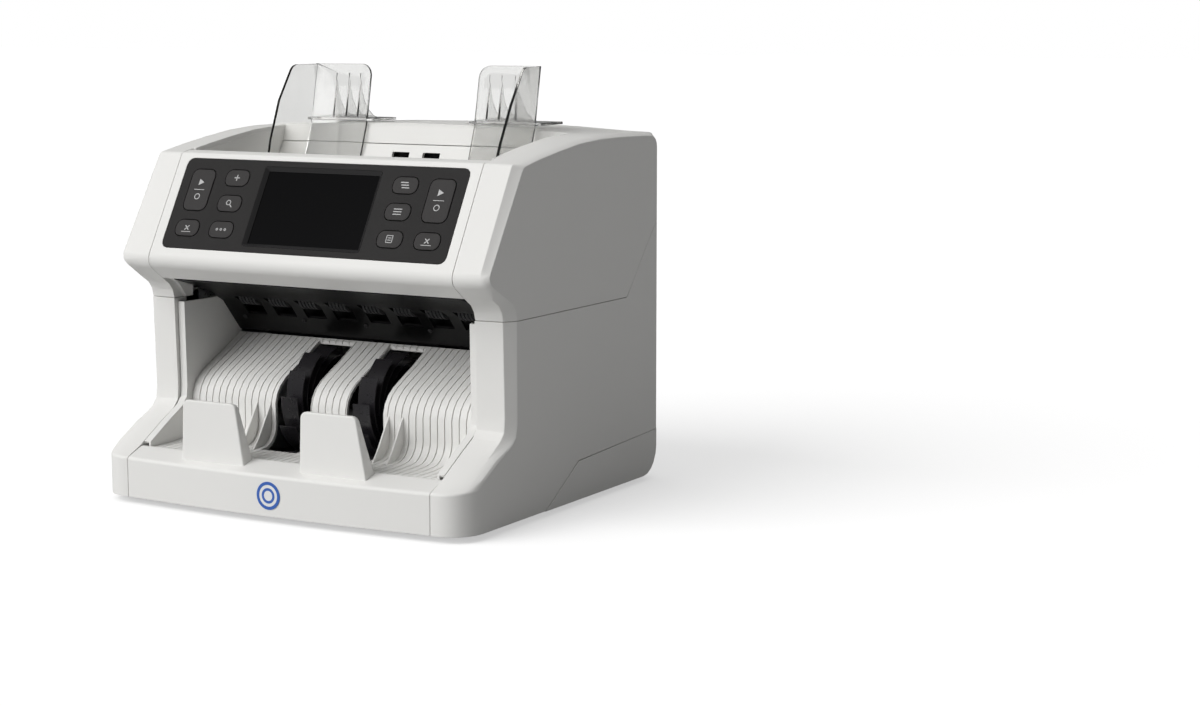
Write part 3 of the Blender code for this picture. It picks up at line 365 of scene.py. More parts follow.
grainGroup = makeGrainGroup()
dustGroup = makeDustGroup()
finishLooks = {
    "white_plastic": {"colour": (0.80, 0.795, 0.775), "tint": (0.74, 0.735, 0.71), "drift": 0.25,
                      "grain": 2400, "rough": 0.43, "spread": 0.1, "depth": 0.10, "dust": 0.05},
    "dark_panel": {"colour": (0.019, 0.018, 0.018), "tint": (0.026, 0.025, 0.025), "drift": 0.5,
                   "grain": 3200, "rough": 0.42, "spread": 0.08, "depth": 0.12, "dust": 0.02},
    "key_plastic": {"colour": (0.036, 0.034, 0.034), "tint": (0.044, 0.042, 0.042), "drift": 0.4,
                    "grain": 3000, "rough": 0.5, "spread": 0.1, "depth": 0.15, "dust": 0.02},
    "black_plastic": {"colour": (0.0022, 0.0022, 0.0025), "tint": (0.004, 0.004, 0.0045), "drift": 0.5,
                      "grain": 2200, "rough": 0.36, "spread": 0.12, "depth": 0.15, "dust": 0.005,
                      "specular": 0.2},
    "display_glass": {"colour": (0.0015, 0.0015, 0.0018), "tint": (0.002, 0.002, 0.0025), "drift": 0.3,
                      "grain": 900, "rough": 0.05, "spread": 0.02, "depth": 0.0, "dust": 0.0,
                      "specular": 0.35},
    "clear_plastic": {"colour": (0.74, 0.74, 0.73), "tint": (0.69, 0.69, 0.68), "drift": 0.3, "grain": 300,
                      "rough": 0.06, "spread": 0.04, "depth": 0.01, "dust": 0.0, "transmission": 1.0,
                      "ior": 1.46},
    "roller_rubber": {"colour": (0.020, 0.020, 0.022), "tint": (0.04, 0.04, 0.041), "drift": 0.6,
                      "grain": 1400, "rough": 0.72, "spread": 0.15, "depth": 0.3, "dust": 0.12},
    "wheel_rubber": {"colour": (0.013, 0.012, 0.014), "tint": (0.022, 0.021, 0.024), "drift": 0.6,
                     "grain": 1600, "rough": 0.3, "spread": 0.15, "depth": 0.08, "dust": 0.02},
    "steel": {"colour": (0.56, 0.57, 0.58), "tint": (0.44, 0.45, 0.46), "drift": 0.4, "grain": 700,
              "rough": 0.32, "spread": 0.2, "depth": 0.05, "dust": 0.03, "metallic": 1.0},
    "aluminium_case": {"colour": (0.62, 0.62, 0.63), "tint": (0.52, 0.52, 0.53), "drift": 0.4, "grain": 900,
                       "rough": 0.4, "spread": 0.15, "depth": 0.08, "dust": 0.03, "metallic": 1.0},
    "board_green": {"colour": (0.02, 0.15, 0.07), "tint": (0.05, 0.24, 0.1), "drift": 0.6, "grain": 500,
                    "rough": 0.4, "spread": 0.15, "depth": 0.2, "dust": 0.05},
    "badge_blue": {"colour": (0.035, 0.12, 0.45), "tint": (0.05, 0.15, 0.5), "drift": 0.4, "grain": 1500,
                   "rough": 0.32, "spread": 0.06, "depth": 0.04, "dust": 0.02, "coat": 0.3},
    "nylon": {"colour": (0.76, 0.75, 0.70), "tint": (0.68, 0.66, 0.6), "drift": 0.4, "grain": 1200,
              "rough": 0.5, "spread": 0.1, "depth": 0.1, "dust": 0.04},
    "legend": {"colour": (0.50, 0.50, 0.50), "tint": (0.42, 0.42, 0.42), "drift": 0.3, "grain": 4000,
               "rough": 0.5, "spread": 0.05, "depth": 0.05, "dust": 0.0},
    "display_bezel": {"colour": (0.016, 0.0155, 0.016), "tint": (0.024, 0.024, 0.024), "drift": 0.4,
                      "grain": 2600, "rough": 0.24, "spread": 0.06, "depth": 0.06, "dust": 0.01},
    "badge_white": {"colour": (0.80, 0.80, 0.80), "tint": (0.74, 0.74, 0.74), "drift": 0.2, "grain": 1500,
                    "rough": 0.35, "spread": 0.06, "depth": 0.03, "dust": 0.02},
}


def makeFinish(name, look):
    material = bpy.data.materials.new(name)
    material.use_nodes = True
    tree = material.node_tree
    shader = tree.nodes["Principled BSDF"]
    grain = addNode(tree, "Group", node_tree=grainGroup)
    grain.inputs["Colour"].default_value = (*look["colour"], 1)
    grain.inputs["Tint"].default_value = (*look["tint"], 1)
    grain.inputs["Drift"].default_value = look["drift"]
    grain.inputs["Grain"].default_value = look["grain"]
    grain.inputs["Roughness"].default_value = look["rough"]
    grain.inputs["Spread"].default_value = look["spread"]
    grain.inputs["Depth"].default_value = look["depth"]
    colour, rough = grain.outputs["Colour"], grain.outputs["Roughness"]
    if look["dust"]:
        dust = addNode(tree, "Group", node_tree=dustGroup)
        dust.inputs["Amount"].default_value = look["dust"]
        tree.links.new(colour, dust.inputs["Colour"])
        tree.links.new(rough, dust.inputs["Roughness"])
        colour, rough = dust.outputs["Colour"], dust.outputs["Roughness"]
    tree.links.new(colour, shader.inputs["Base Color"])
    tree.links.new(rough, shader.inputs["Roughness"])
    if look["depth"]:
        tree.links.new(grain.outputs["Normal"], shader.inputs["Normal"])
    shader.inputs["Metallic"].default_value = look.get("metallic", 0.0)
    shader.inputs["Coat Weight"].default_value = look.get("coat", 0.0)
    shader.inputs["Transmission Weight"].default_value = look.get("transmission", 0.0)
    shader.inputs["IOR"].default_value = look.get("ior", 1.5)
    shader.inputs["Specular IOR Level"].default_value = look.get("specular", 0.5)
    return material


finishes = {name: makeFinish(name, look) for name, look in finishLooks.items()}
print("finishes made")


# camera, floor and light
camera = {"place": (0.926, -1.336, 0.334), "forward": (-0.4849, 0.8624, -0.1452), "lens": 69.79}
clearSelection()
bpy.ops.object.camera_add(location=camera["place"])
view = bpy.context.object
view.rotation_euler = Vector(camera["forward"]).to_track_quat("-Z", "Y").to_euler()
view.data.lens = camera["lens"]
view.data.sensor_width = 36
view.data.clip_start = 0.05
bpy.context.scene.camera = view

lights = {
    "keyLight": {"from": (-0.62, -0.95, 0.72), "strength": 2.65, "angle": 55, "glossy": False},
    "topLight": {"from": (-0.15, 0.10, 1.0), "strength": 0.75, "angle": 80, "glossy": False},
}
for name, light in lights.items():
    clearSelection()
    bpy.ops.object.light_add(type="SUN", location=Vector(light["from"]) * 3)
    lamp = bpy.context.object
    lamp.name = name
    lamp.rotation_euler = (-Vector(light["from"])).to_track_quat("-Z", "Y").to_euler()
    lamp.data.energy = light["strength"]
    lamp.data.angle = math.radians(light["angle"])
    lamp.visible_glossy = light["glossy"]

world = bpy.data.worlds.new("studio")
bpy.context.scene.world = world
world.use_nodes = True
sky = world.node_tree.nodes["Background"]
sky.inputs["Color"].default_value = (1, 1, 1, 1)
rays = addNode(world.node_tree, "LightPath")
through = mathNode(world.node_tree, "GREATER_THAN", rays.outputs["Transmission Depth"], 0.5)
through = mathNode(world.node_tree, "MULTIPLY", through, 0.72)
seen = mathNode(world.node_tree, "MAXIMUM", rays.outputs["Is Camera Ray"], through)
strength = mathNode(world.node_tree, "MULTIPLY_ADD", seen, 0.82, 0.18)
world.node_tree.links.new(strength, sky.inputs["Strength"])
bpy.context.scene.view_settings.view_transform = "Standard"

clearSelection()
bpy.ops.mesh.primitive_plane_add(size=30, location=(0, 0, -0.00002))
floor = bpy.context.object
floor.name = "floor"
paper = bpy.data.materials.new("paper")
paper.use_nodes = True
rays = addNode(paper.node_tree, "LightPath")
paperShader = paper.node_tree.nodes["Principled BSDF"]
through = mathNode(paper.node_tree, "GREATER_THAN", rays.outputs["Transmission Depth"], 0.5)
through = mathNode(paper.node_tree, "MULTIPLY", through, 0.5)
seen = mathNode(paper.node_tree, "MAXIMUM", rays.outputs["Is Camera Ray"], through)
shade = mixColours(paper.node_tree, seen, (0.42, 0.42, 0.42, 1), (0.62, 0.62, 0.62, 1))
paper.node_tree.links.new(shade, paperShader.inputs["Base Color"])
glow = mathNode(paper.node_tree, "MULTIPLY", seen, 0.5)
paper.node_tree.links.new(glow, paperShader.inputs["Emission Strength"])
paperShader.inputs["Emission Color"].default_value = (1, 1, 1, 1)
paperShader.inputs["Roughness"].default_value = 0.6
paperShader.inputs["Specular IOR Level"].default_value = 0.0
floor.data.materials.append(paper)
print("camera, floor and lights set")


def spun(name, profile, centre, steps=32, width=0.2, closed=True):
    # profile of (x, radius) turned about a line along X through centre (y, z)
    y, z = centre
    points = [(x, z + radius) for x, radius in profile]
    piece = drawOutline(name, points, "Y", y, fill=False)
    startEdit(piece, "VERT")
    bpy.ops.mesh.select_all(action="SELECT")
    if closed:
        mesh = bmesh.from_edit_mesh(piece.data)
        mesh.verts.ensure_lookup_table()
        mesh.edges.new((mesh.verts[0], mesh.verts[len(mesh.verts) - 1]))
        bmesh.update_edit_mesh(piece.data)
        bpy.ops.mesh.select_all(action="SELECT")
    bpy.ops.mesh.spin(steps=steps, angle=2 * math.pi, center=Vector((0, y, z)) * mm, axis=(1, 0, 0))
    endEdit()
    faceOut(piece)
    soften(piece, width, 2)
    return piece


def ringOfCopies(piece, count, centre, axis=(1, 0, 0)):
    # repeats everything in the piece round an axis
    startEdit(piece)
    bpy.ops.mesh.select_all(action="SELECT")
    bpy.ops.mesh.spin(steps=count - 1, dupli=True, angle=2 * math.pi * (count - 1) / count,
                      center=Vector(centre) * mm, axis=axis)
    endEdit()
    return piece


# stacker: the ribbed plate the notes land on, its fins, and the leaf wheels
noteTray = {
    "halfWidth": 117.5, "thickness": 2.2, "pitch": 5.7, "groove": 0.85, "depth": 1.5,
    "line": ((-10.5, 105.4), (-31.0, 94.5), (-43.0, 88.7), (-54.0, 83.0), (-60.0, 78.4), (-64.0, 73.0),
             (-66.0, 66.7), (-66.0, 38.5, 14.0), (-90.0, 36.9, 6.0), (-111.8, 36.6)),
    "slot": (15.0, 45.0), "slotDepth": (-84.0, -13.0), "slotHeight": (20.0, 112.0), "grooveEnd": -111.6,
    "margin": 2.0,
}
trayFin = {"places": (49.4, 60.8), "half": 0.6,
           "outline": ((-65.2, 67.5), (-65.2, 37.2), (-86.5, 36.6), (-80.0, 44.0))}
half = noteTray["halfWidth"]
count = int(2 * (half - noteTray["margin"]) / noteTray["pitch"])
starts = [(index - (count - 1) / 2) * noteTray["pitch"] for index in range(count)]
edges = []
for middle in starts:
    edges += [middle - noteTray["groove"] / 2, middle + noteTray["groove"] / 2]
trayLine = rounded(noteTray["line"], False, 6)
tray = drawn("note_tray", bentSheet(trayLine, noteTray["thickness"]), "X", -half, half, None, stops=edges)
startEdit(tray)
facing = Vector((0, -0.6, 0.8))


def inGroove(middle, normal):
    near = min(abs(middle.x - start) for start in starts)
    if middle.y <= noteTray["grooveEnd"] or normal.dot(facing) <= 0.2:
        return False
    return near < noteTray["groove"] / 2 - 0.05


pickFaces(inGroove)
bpy.ops.mesh.extrude_region_shrink_fatten(
    TRANSFORM_OT_shrink_fatten={"value": -noteTray["depth"] * mm})
endEdit()
faceOut(tray)
for side in (-1, 1):
    low, high = sorted(side * x for x in noteTray["slot"])
    (front, back), (bottom, top) = noteTray["slotDepth"], noteTray["slotHeight"]
    cutWith(tray, boxAt("tool", (low, front, bottom), (high, back, top), None))
soften(tray, None)
finishPiece(tray, "casing", "white_plastic", "stacker_plate")

fins = []
for x in trayFin["places"]:
    for side in (-1, 1):
        low, high = side * x - trayFin["half"], side * x + trayFin["half"]
        fins.append(drawn("fin", trayFin["outline"], "X", low, high, 0.25))
finishPiece(joined("note_tray_fins", *fins), "casing", "white_plastic")
print("note tray made")

leafWheel = {"centre": (-28.0, 57.0), "middle": 30.0, "hub": 13.0, "tip": 45.2, "leaves": 14, "sweep": 2.6,
             "growth": 1.15, "halfWidth": 7.0, "root": 1.4, "end": 0.8, "bore": 4.3, "bury": 1.2, "steps": 16,
             "boss": 0.6, "collar": 8.0, "inset": 0.1}


def leafOutline():
    cy, cz = leafWheel["centre"]
    line = []
    inner, outer = leafWheel["hub"] - leafWheel["bury"], leafWheel["tip"] - leafWheel["end"] / 2
    for step in range(leafWheel["steps"] + 1):
        part = step / leafWheel["steps"]
        radius = inner + (outer - inner) * part ** leafWheel["growth"]
        turn = -leafWheel["sweep"] * part
        line.append((cy + radius * math.cos(turn), cz + radius * math.sin(turn)))
    near = alongside(line, leafWheel["root"] / 2)
    far = alongside(line, -leafWheel["root"] / 2)
    for index in range(len(line)):  # the leaf thins towards its free end
        share = index / (len(line) - 1) * (1 - leafWheel["end"] / leafWheel["root"])
        near[index] = tuple(Vector(near[index]).lerp(Vector(line[index]), share))
        far[index] = tuple(Vector(far[index]).lerp(Vector(line[index]), share))
    return near + far[::-1]


def makeLeafWheel(name, middle, node):
    axis = (0, *leafWheel["centre"])
    rim, bore, wide = leafWheel["hub"], leafWheel["bore"], leafWheel["halfWidth"]
    end, collar, low = wide + leafWheel["boss"], leafWheel["collar"], leafWheel["collar"] + leafWheel["boss"]
    hub = spun("hub", ((-end, bore), (-end, collar), (-wide, low), (-wide, rim), (wide, rim), (wide, low),
                       (end, collar), (end, bore)), leafWheel["centre"], 36)
    leafEnd = wide - leafWheel["inset"]
    leaf = drawn("leaf", leafOutline(), "X", -leafEnd, leafEnd, 0.18, 1)
    ringOfCopies(leaf, leafWheel["leaves"], axis)
    wheel = joined(name, hub, leaf)
    wheel.data.transform(Matrix.Translation((middle * mm, 0, 0)))
    return finishPiece(wheel, "stacker", "wheel_rubber", node)


makeLeafWheel("left_leaf_wheel", -leafWheel["middle"], "left_stacker_wheel")
makeLeafWheel("right_leaf_wheel", leafWheel["middle"], "right_stacker_wheel")
print("leaf wheels made")

# exit: black housing over the wheels and the row of rollers in it
exitRow = {"centre": (-27.0, 137.0), "radius": 9.0, "core": 3.0, "tyre": 7.4, "spacing": 26.0, "first": 14.0,
           "left": -124.0, "pulley": (126.5, 132.5, 6.0), "right": 134.0, "ridges": 5, "ridgePitch": 2.95,
           "ridgeStart": 0.4, "ridgeSteps": (1.9, 2.1, 2.7), "shoulder": 0.5, "valley": 1.0, "tyres": 8}
exitScrews = {"places": (-105.0, -53.0, 0.0, 53.0, 105.0), "depth": -20.0, "height": 118.3, "radius": 1.6,
              "normal": (0, -22.8, -19.5)}
exitHousing = refined("exit_shroud", "exit_housing", width=0.4)
finishPiece(exitHousing, "casing", "black_plastic", "exit_housing")
core, radius, valley = exitRow["core"], exitRow["radius"], exitRow["radius"] - exitRow["valley"]
rollerProfile = [(exitRow["left"], 0.0), (exitRow["left"], core)]
outwards = [exitRow["first"] + exitRow["spacing"] * index for index in range(exitRow["tyres"] // 2)]
for middle in [-place for place in outwards[::-1]] + outwards:
    low, high = middle - exitRow["tyre"], middle + exitRow["tyre"]
    rollerProfile += [(low, core), (low, radius - exitRow["shoulder"])]
    for ridge in range(exitRow["ridges"]):
        start = low + exitRow["ridgeStart"] + ridge * exitRow["ridgePitch"]
        crest, trough, end = (start + step for step in exitRow["ridgeSteps"])
        rollerProfile += [(start, radius), (crest, radius), (trough, valley), (end, valley)]
    rollerProfile += [(high, radius - exitRow["shoulder"]), (high, core)]
near, far, pulley = exitRow["pulley"]
rollerProfile += [(near, core), (near, pulley), (far, pulley), (far, core), (exitRow["right"], core),
                  (exitRow["right"], 0.0)]
exitRoller = spun("exit_roller_row", rollerProfile, exitRow["centre"], 24, 0.0, closed=False)
finishPiece(exitRoller, "exit_roller", "roller_rubber", "exit_roller")


panHead = {"rim": 0.5, "shoulder": 1.1, "top": 1.3, "recess": 0.6, "reach": 0.62, "slotHalf": 0.28,
           "turn": 20}


def screwHead(name, place, normal, radius):
    # a pan head with a cross recess, standing along normal
    rim, shoulder, top = panHead["rim"], panHead["shoulder"], panHead["top"]
    profile = ((0, 0), (0, radius), (rim, radius), (shoulder, radius * 0.8), (top, radius * 0.45), (top, 0))
    head = spun(name, profile, (0, 0), 20, 0.0, closed=False)
    reach, half = radius * panHead["reach"], panHead["slotHalf"]
    for turn in (0, 90):
        slotCut = boxAt("tool", (panHead["recess"], -reach, -half), (2.0, reach, half), None)
        slotCut.data.transform(Matrix.Rotation(math.radians(turn + panHead["turn"]), 4, "X"))
        cutWith(head, slotCut)
    turn = Vector((1, 0, 0)).rotation_difference(Vector(normal)).to_matrix().to_4x4()
    head.data.transform(Matrix.Translation(Vector(place) * mm) @ turn)
    soften(head, None)
    return head


screws = []
for x in exitScrews["places"]:
    spot = (x, exitScrews["depth"], exitScrews["height"])
    screws.append(screwHead("screw", spot, Vector(exitScrews["normal"]).normalized(), exitScrews["radius"]))
finishPiece(joined("exit_screws", *screws), "casing", "roller_rubber")
print("exit made")

# key panel: overlay, keys with plain marks, and the framed display
keyPanel = {"drop": 38.0, "keyLow": -4.6, "keyTop": 0.42, "crown": 0.18,
            "mark": 0.62, "markProud": 0.07, "corner": 4.8, "keyWidth": 19.4, "rim": 1.0, "flat": 1.6}
keyRows = {
    "left_start_key": (-98.2, 28.0, 30.8, "start"), "left_clear_key": (-98.2, 56.8, 11.8, "clear"),
    "right_start_key": (98.2, 28.0, 30.8, "start"), "right_clear_key": (98.2, 56.8, 11.8, "clear"),
    "add_key": (-69.0, 18.0, 11.8, "plus"), "detect_key": (-69.0, 37.2, 11.8, "lens"),
    "mode_key": (-69.0, 56.8, 11.8, "dots"), "batch_key": (69.0, 18.0, 11.8, "stack"),
    "menu_key": (69.0, 37.2, 11.8, "lines"), "report_key": (69.0, 56.8, 11.8, "sheet"),
}


def roundedBox(width, height, radius, u=0.0, v=0.0, steps=5):
    signs = ((-1, -1), (1, -1), (1, 1), (-1, 1))
    corners = [(u + a * width / 2, v + b * height / 2, radius) for a, b in signs]
    return rounded(corners, True, steps)


def bar(u, v, width, height, turn=0.0):
    low, high = keyPanel["mark"], keyPanel["mark"] + keyPanel["markProud"]
    radius = min(width, height) * 0.42
    points = []
    for a, b in roundedBox(width, height, radius, 0, 0, 2):
        c, s = math.cos(math.radians(turn)), math.sin(math.radians(turn))
        points.append((u + a * c - b * s, v + a * s + b * c))
    return drawn("bar", points, "Z", low, high, None)


def ring(u, v, radius, thick, sides=24):
    outer = [(u + radius * math.cos(2 * math.pi * n / sides), v + radius * math.sin(2 * math.pi * n / sides))
             for n in range(sides)]
    piece = drawn("ring", outer, "Z", keyPanel["mark"], keyPanel["mark"] + keyPanel["markProud"], None)
    startEdit(piece)
    pickFaces(lambda middle, normal: abs(normal.z) > 0.9)
    bpy.ops.mesh.inset(thickness=thick * mm)
    bpy.ops.mesh.bridge_edge_loops()
    endEdit()
    return piece


def marksFor(kind, u, v):
    if kind == "start":
        corners = ((u - 1.9, v + 3.2), (u + 2.4, v + 5.6), (u - 1.9, v + 8.0))
        tip = drawn("tip", corners, "Z", keyPanel["mark"], keyPanel["mark"] + keyPanel["markProud"], None)
        return [tip, bar(u, v, 8.6, 0.45), ring(u, v - 5.2, 2.3, 0.6)]
    if kind == "clear":
        return [bar(u, v, 4.8, 0.7, 45), bar(u, v, 4.8, 0.7, -45), bar(u, v - 3.0, 8.0, 0.45)]
    if kind == "plus":
        return [bar(u, v, 4.6, 0.75), bar(u, v, 0.75, 4.6)]
    if kind == "lens":
        return [ring(u - 0.6, v + 0.5, 2.0, 0.55), bar(u + 1.8, v - 1.9, 2.6, 0.75, -45)]
    if kind == "dots":
        return [ring(u + shift, v, 0.95, 0.5, 16) for shift in (-3.4, 0.0, 3.4)]
    if kind == "stack":
        return [bar(u + shift, v + up, 6.0, 0.75) for shift, up in ((-0.8, 1.9), (0.0, 0.0), (0.8, -1.9))]
    if kind == "lines":
        return [bar(u, v + up, 6.6, 0.65) for up in (1.9, 0.0, -1.9)]
    uprights = [bar(u + shift, v, 0.5, 5.4) for shift in (-2.3, 2.3)]
    ends = [bar(u, v + up, 5.0, 0.5) for up in (2.5, -2.5)]
    return uprights + ends + [bar(u, v + up, 2.8, 0.5) for up in (0.8, -0.8)]


def makeKey(name, u, row, height, kind):
    outline = roundedBox(keyPanel["keyWidth"], height, keyPanel["corner"], u, -row)
    key = drawn(name + "_cap", outline, "Z", keyPanel["keyLow"], keyPanel["keyTop"], None)
    startEdit(key)
    pickFaces(lambda middle, normal: normal.z > 0.9)
    bpy.ops.mesh.inset(thickness=keyPanel["rim"] * mm, depth=keyPanel["crown"] * mm)
    bpy.ops.mesh.inset(thickness=keyPanel["flat"] * mm, depth=0.04 * mm)
    endEdit()
    soften(key, 0.22, 2)
    ontoPanel(key)
    finishPiece(key, name, "key_plastic", name)
    marks = joined(name + "_mark", *marksFor(kind, u, -row))
    ontoPanel(marks)
    finishPiece(marks, name, "legend")


for name, (u, row, height, kind) in keyRows.items():
    makeKey(name, u, row, height, kind)
print("keys made")

displayFrame = {"opening": (96.4, 59.4), "lip": 0.5, "slope": 2.3, "sink": 1.9, "low": -2.28, "high": 0.12,
                "corner": 2.0}
displayPane = {"size": (100.6, 63.6), "low": -3.4, "high": -2.3, "border": 3.4}
paneMiddle = Vector((0.0, -keyPanel["drop"]))
bezelOutline = roundedBox(*displayFrame["opening"], displayFrame["corner"], 0, -keyPanel["drop"])
bezel = drawn("display_bezel", bezelOutline, "Z", displayFrame["low"], displayFrame["high"], None)
startEdit(bezel)
pickFaces(lambda middle, normal: normal.z > 0.9)
bpy.ops.mesh.inset(thickness=displayFrame["lip"] * mm)
bpy.ops.mesh.inset(thickness=displayFrame["slope"] * mm, depth=-displayFrame["sink"] * mm)
endEdit()
startEdit(bezel)
pickFaces(lambda middle, normal: normal.z < -0.9)
bpy.ops.mesh.inset(thickness=(displayFrame["lip"] + displayFrame["slope"]) * mm)
pickFaces(lambda middle, normal: abs(normal.z) > 0.9 and (middle.xy - paneMiddle).length < 1)
bpy.ops.mesh.bridge_edge_loops()
endEdit()
faceOut(bezel)
soften(bezel, 0.15, 2)
ontoPanel(bezel)
finishPiece(bezel, "casing", "display_bezel")
paneOutline = roundedBox(*displayPane["size"], displayFrame["corner"], 0, -keyPanel["drop"])
glass = drawn("display_pane", paneOutline, "Z", displayPane["low"], displayPane["high"], 0.15)
startEdit(glass)
pickFaces(lambda middle, normal: normal.z > 0.9)
bpy.ops.mesh.inset(thickness=displayPane["border"] * mm)
endEdit()
useOnly(glass)
bpy.ops.object.shade_flat()
ontoPanel(glass)
finishPiece(glass, "casing", "display_glass", "display_window")
overlay = refined("key_overlay", "keypad_panel", width=0.25)
finishPiece(overlay, "casing", "dark_panel", "keypad_panel")
print("display made")

# front deck, its two stops and the roundel
deck = {
    "half": 123.7, "bulge": 4.9, "seam": 124.0,
    "section": ((-129.5, 4.3), (-129.5, 31.9, 3.0), (-115.0, 37.6, 0.8), (-112.2, 37.6), (-112.2, 34.2),
                (-115.6, 34.2), (-126.4, 29.8), (-126.4, 4.3)),
    "stops": ((-79.0, -35.0, -26.0), (19.0, 63.0, 73.0)), "stopFoot": 31.0, "stopTop": 75.0,
    "stopDepth": (-126.0, -114.2), "stopMiddle": -120.0, "stopLean": (0.05, -0.13), "stopCorner": 4.5,
    "bulgeFrom": -125.5, "strips": 16,
}
stations = [-deck["half"] + deck["half"] * 2 * n / deck["strips"] for n in range(1, deck["strips"])]
apron = drawn("front_apron", rounded(deck["section"]), "X", -deck["half"], deck["half"], None, stops=stations)
for vert in apron.data.vertices:
    if vert.co.y < deck["bulgeFrom"] * mm:
        vert.co.y -= deck["bulge"] * mm * (1 - (vert.co.x / mm / deck["seam"]) ** 2)
soften(apron, 0.5, 3)
finishPiece(apron, "casing", "white_plastic", "front_deck")
stops = []
for left, right, foot in deck["stops"]:
    low, high, corner = deck["stopFoot"], deck["stopTop"], deck["stopCorner"]
    face = rounded(((left, low), (foot, low), (right, high, corner), (left, high, corner)))
    stop = drawn("stop", face, "Y", *deck["stopDepth"], None)
    frontLean, backLean = deck["stopLean"]
    for vert in stop.data.vertices:
        rise = vert.co.z - deck["stopFoot"] * mm
        vert.co.y += rise * (frontLean if vert.co.y < deck["stopMiddle"] * mm else backLean)
    soften(stop, 1.1, 3)
    stops.append(stop)
finishPiece(joined("note_stops", *stops), "casing", "white_plastic")

badge = {"rim": (9.4, 7.3), "field": 7.25, "ring": (5.2, 3.4), "height": 18.7, "back": -134.45,
         "front": -134.8, "sides": 48}


def badgeDisc(name, outer, inner, front, finish, *cad):
    turns = [2 * math.pi * n / badge["sides"] for n in range(badge["sides"])]
    points = [(outer * math.cos(turn), badge["height"] + outer * math.sin(turn)) for turn in turns]
    disc = drawn(name, points, "Y", badge["back"], front, None)
    if inner:
        startEdit(disc)
        pickFaces(lambda middle, normal: abs(normal.y) > 0.9)
        bpy.ops.mesh.inset(thickness=(outer - inner) * mm)
        bpy.ops.mesh.bridge_edge_loops()
        endEdit()
    faceOut(disc)
    soften(disc, 0.06, 2)
    return finishPiece(disc, "casing", finish, *cad)


badgeDisc("roundel_rim", *badge["rim"], badge["front"], "badge_blue", "front_badge")
badgeDisc("roundel_field", badge["field"], 0, badge["front"] + 0.08, "badge_white")
badgeDisc("roundel_ring", *badge["ring"], badge["front"] - 0.02, "badge_blue")
print("front deck made")

# hopper: clear guides that slide together, wall liners and the plates
guide = {
    "inner": 46.0, "outer": 95.2, "thick": 2.2, "flare": 4.0, "low": 215.6, "top": 296.7,
    "line": ((34.0, 217.0), (39.8, 230.0), (48.2, 253.4), (56.6, 296.7)),
    "cheek": ((-8.0, 215.6, 4.0), (1.5, 244.0), (14.0, 271.0), (31.0, 296.3, 9.0), (57.4, 296.3, 1.0),
              (49.0, 253.4), (40.6, 230.0), (34.6, 215.6)),
    "foot": (41.0, 100.0, 49.5, 80.0, 255.9, 257.7), "ribs": (55.0, 65.0, 76.0), "ribHalf": 0.6, "hem": 217.0,
    "bends": (222.0, 230.0, 240.0, 253.4, 275.0), "cheekAt": 93.6, "leanFrom": 56.0, "leanOver": 40.0,
    "rib": ((50.0, 256.6), (79.0, 256.6), (71.0, 259.0), (64.5, 263.6), (60.0, 270.5), (57.4, 279.0),
            (56.2, 290.0), (54.6, 290.0)),
    "stem": (66.0, 74.0, 65.6, 70.4, 243.8, 256.7),
}


def alongGuide(z):
    line = guide["line"]
    for (y0, z0), (y1, z1) in zip(line, line[1:]):
        if z <= z1 or (y1, z1) == line[-1]:
            return y0 + (y1 - y0) * (z - z0) / (z1 - z0)


def guideBar(word, side):
    near, far, front, back, bottom, top = guide[word]
    low, high = sorted((side * near, side * far))
    return boxAt(word, (low, front, bottom), (high, back, top), None)


def makeGuide(name, side):
    inner, outer, hem, top = side * guide["inner"], side * guide["outer"], guide["hem"], guide["top"]
    outline = ((inner, hem, 6.0), (outer, hem), (outer, top), (inner, top, 9.0))
    panel = drawn(name, rounded(outline, True, 8), "Y", 0.0, guide["thick"], None)
    startEdit(panel)
    for height in guide["bends"]:
        bpy.ops.mesh.select_all(action="SELECT")
        bpy.ops.mesh.bisect(plane_co=(0, 0, height * mm), plane_no=(0, 0, 1))
    endEdit()
    for vert in panel.data.vertices:
        vert.co.y += alongGuide(vert.co.z / mm) * mm
    cheek = drawn("cheek", rounded(guide["cheek"]), "X", 0.0, guide["thick"], None)
    for vert in cheek.data.vertices:
        y, z = vert.co.y / mm, vert.co.z / mm
        lean = guide["flare"] * (z - guide["low"]) / (top - guide["low"])
        lean *= min(1.0, max(0.0, (guide["leanFrom"] - y) / guide["leanOver"]))
        vert.co.x = side * (vert.co.x + (guide["cheekAt"] + lean) * mm)
    startEdit(cheek)
    bpy.ops.mesh.select_all(action="SELECT")
    bpy.ops.mesh.quads_convert_to_tris()
    endEdit()
    faceOut(cheek)
    parts = [cheek, guideBar("foot", side)]
    for x in guide["ribs"]:
        low, high = side * x - guide["ribHalf"], side * x + guide["ribHalf"]
        parts.append(drawn("rib", guide["rib"], "X", low, high, None))
    parts.append(guideBar("stem", side))
    for part in parts:
        cutWith(panel, part, "UNION")
    faceOut(panel)
    applyModifier(panel, "BEVEL", width=0.3 * mm, segments=2, limit_method="ANGLE",
                  angle_limit=math.radians(40), use_clamp_overlap=False)
    useOnly(panel)
    bpy.ops.object.shade_smooth_by_angle(angle=math.radians(20))
    body = "left_guide" if side < 0 else "right_guide"
    return finishPiece(panel, body, "clear_plastic", body)


makeGuide("left_note_guide", -1)
makeGuide("right_note_guide", 1)
print("guides made")

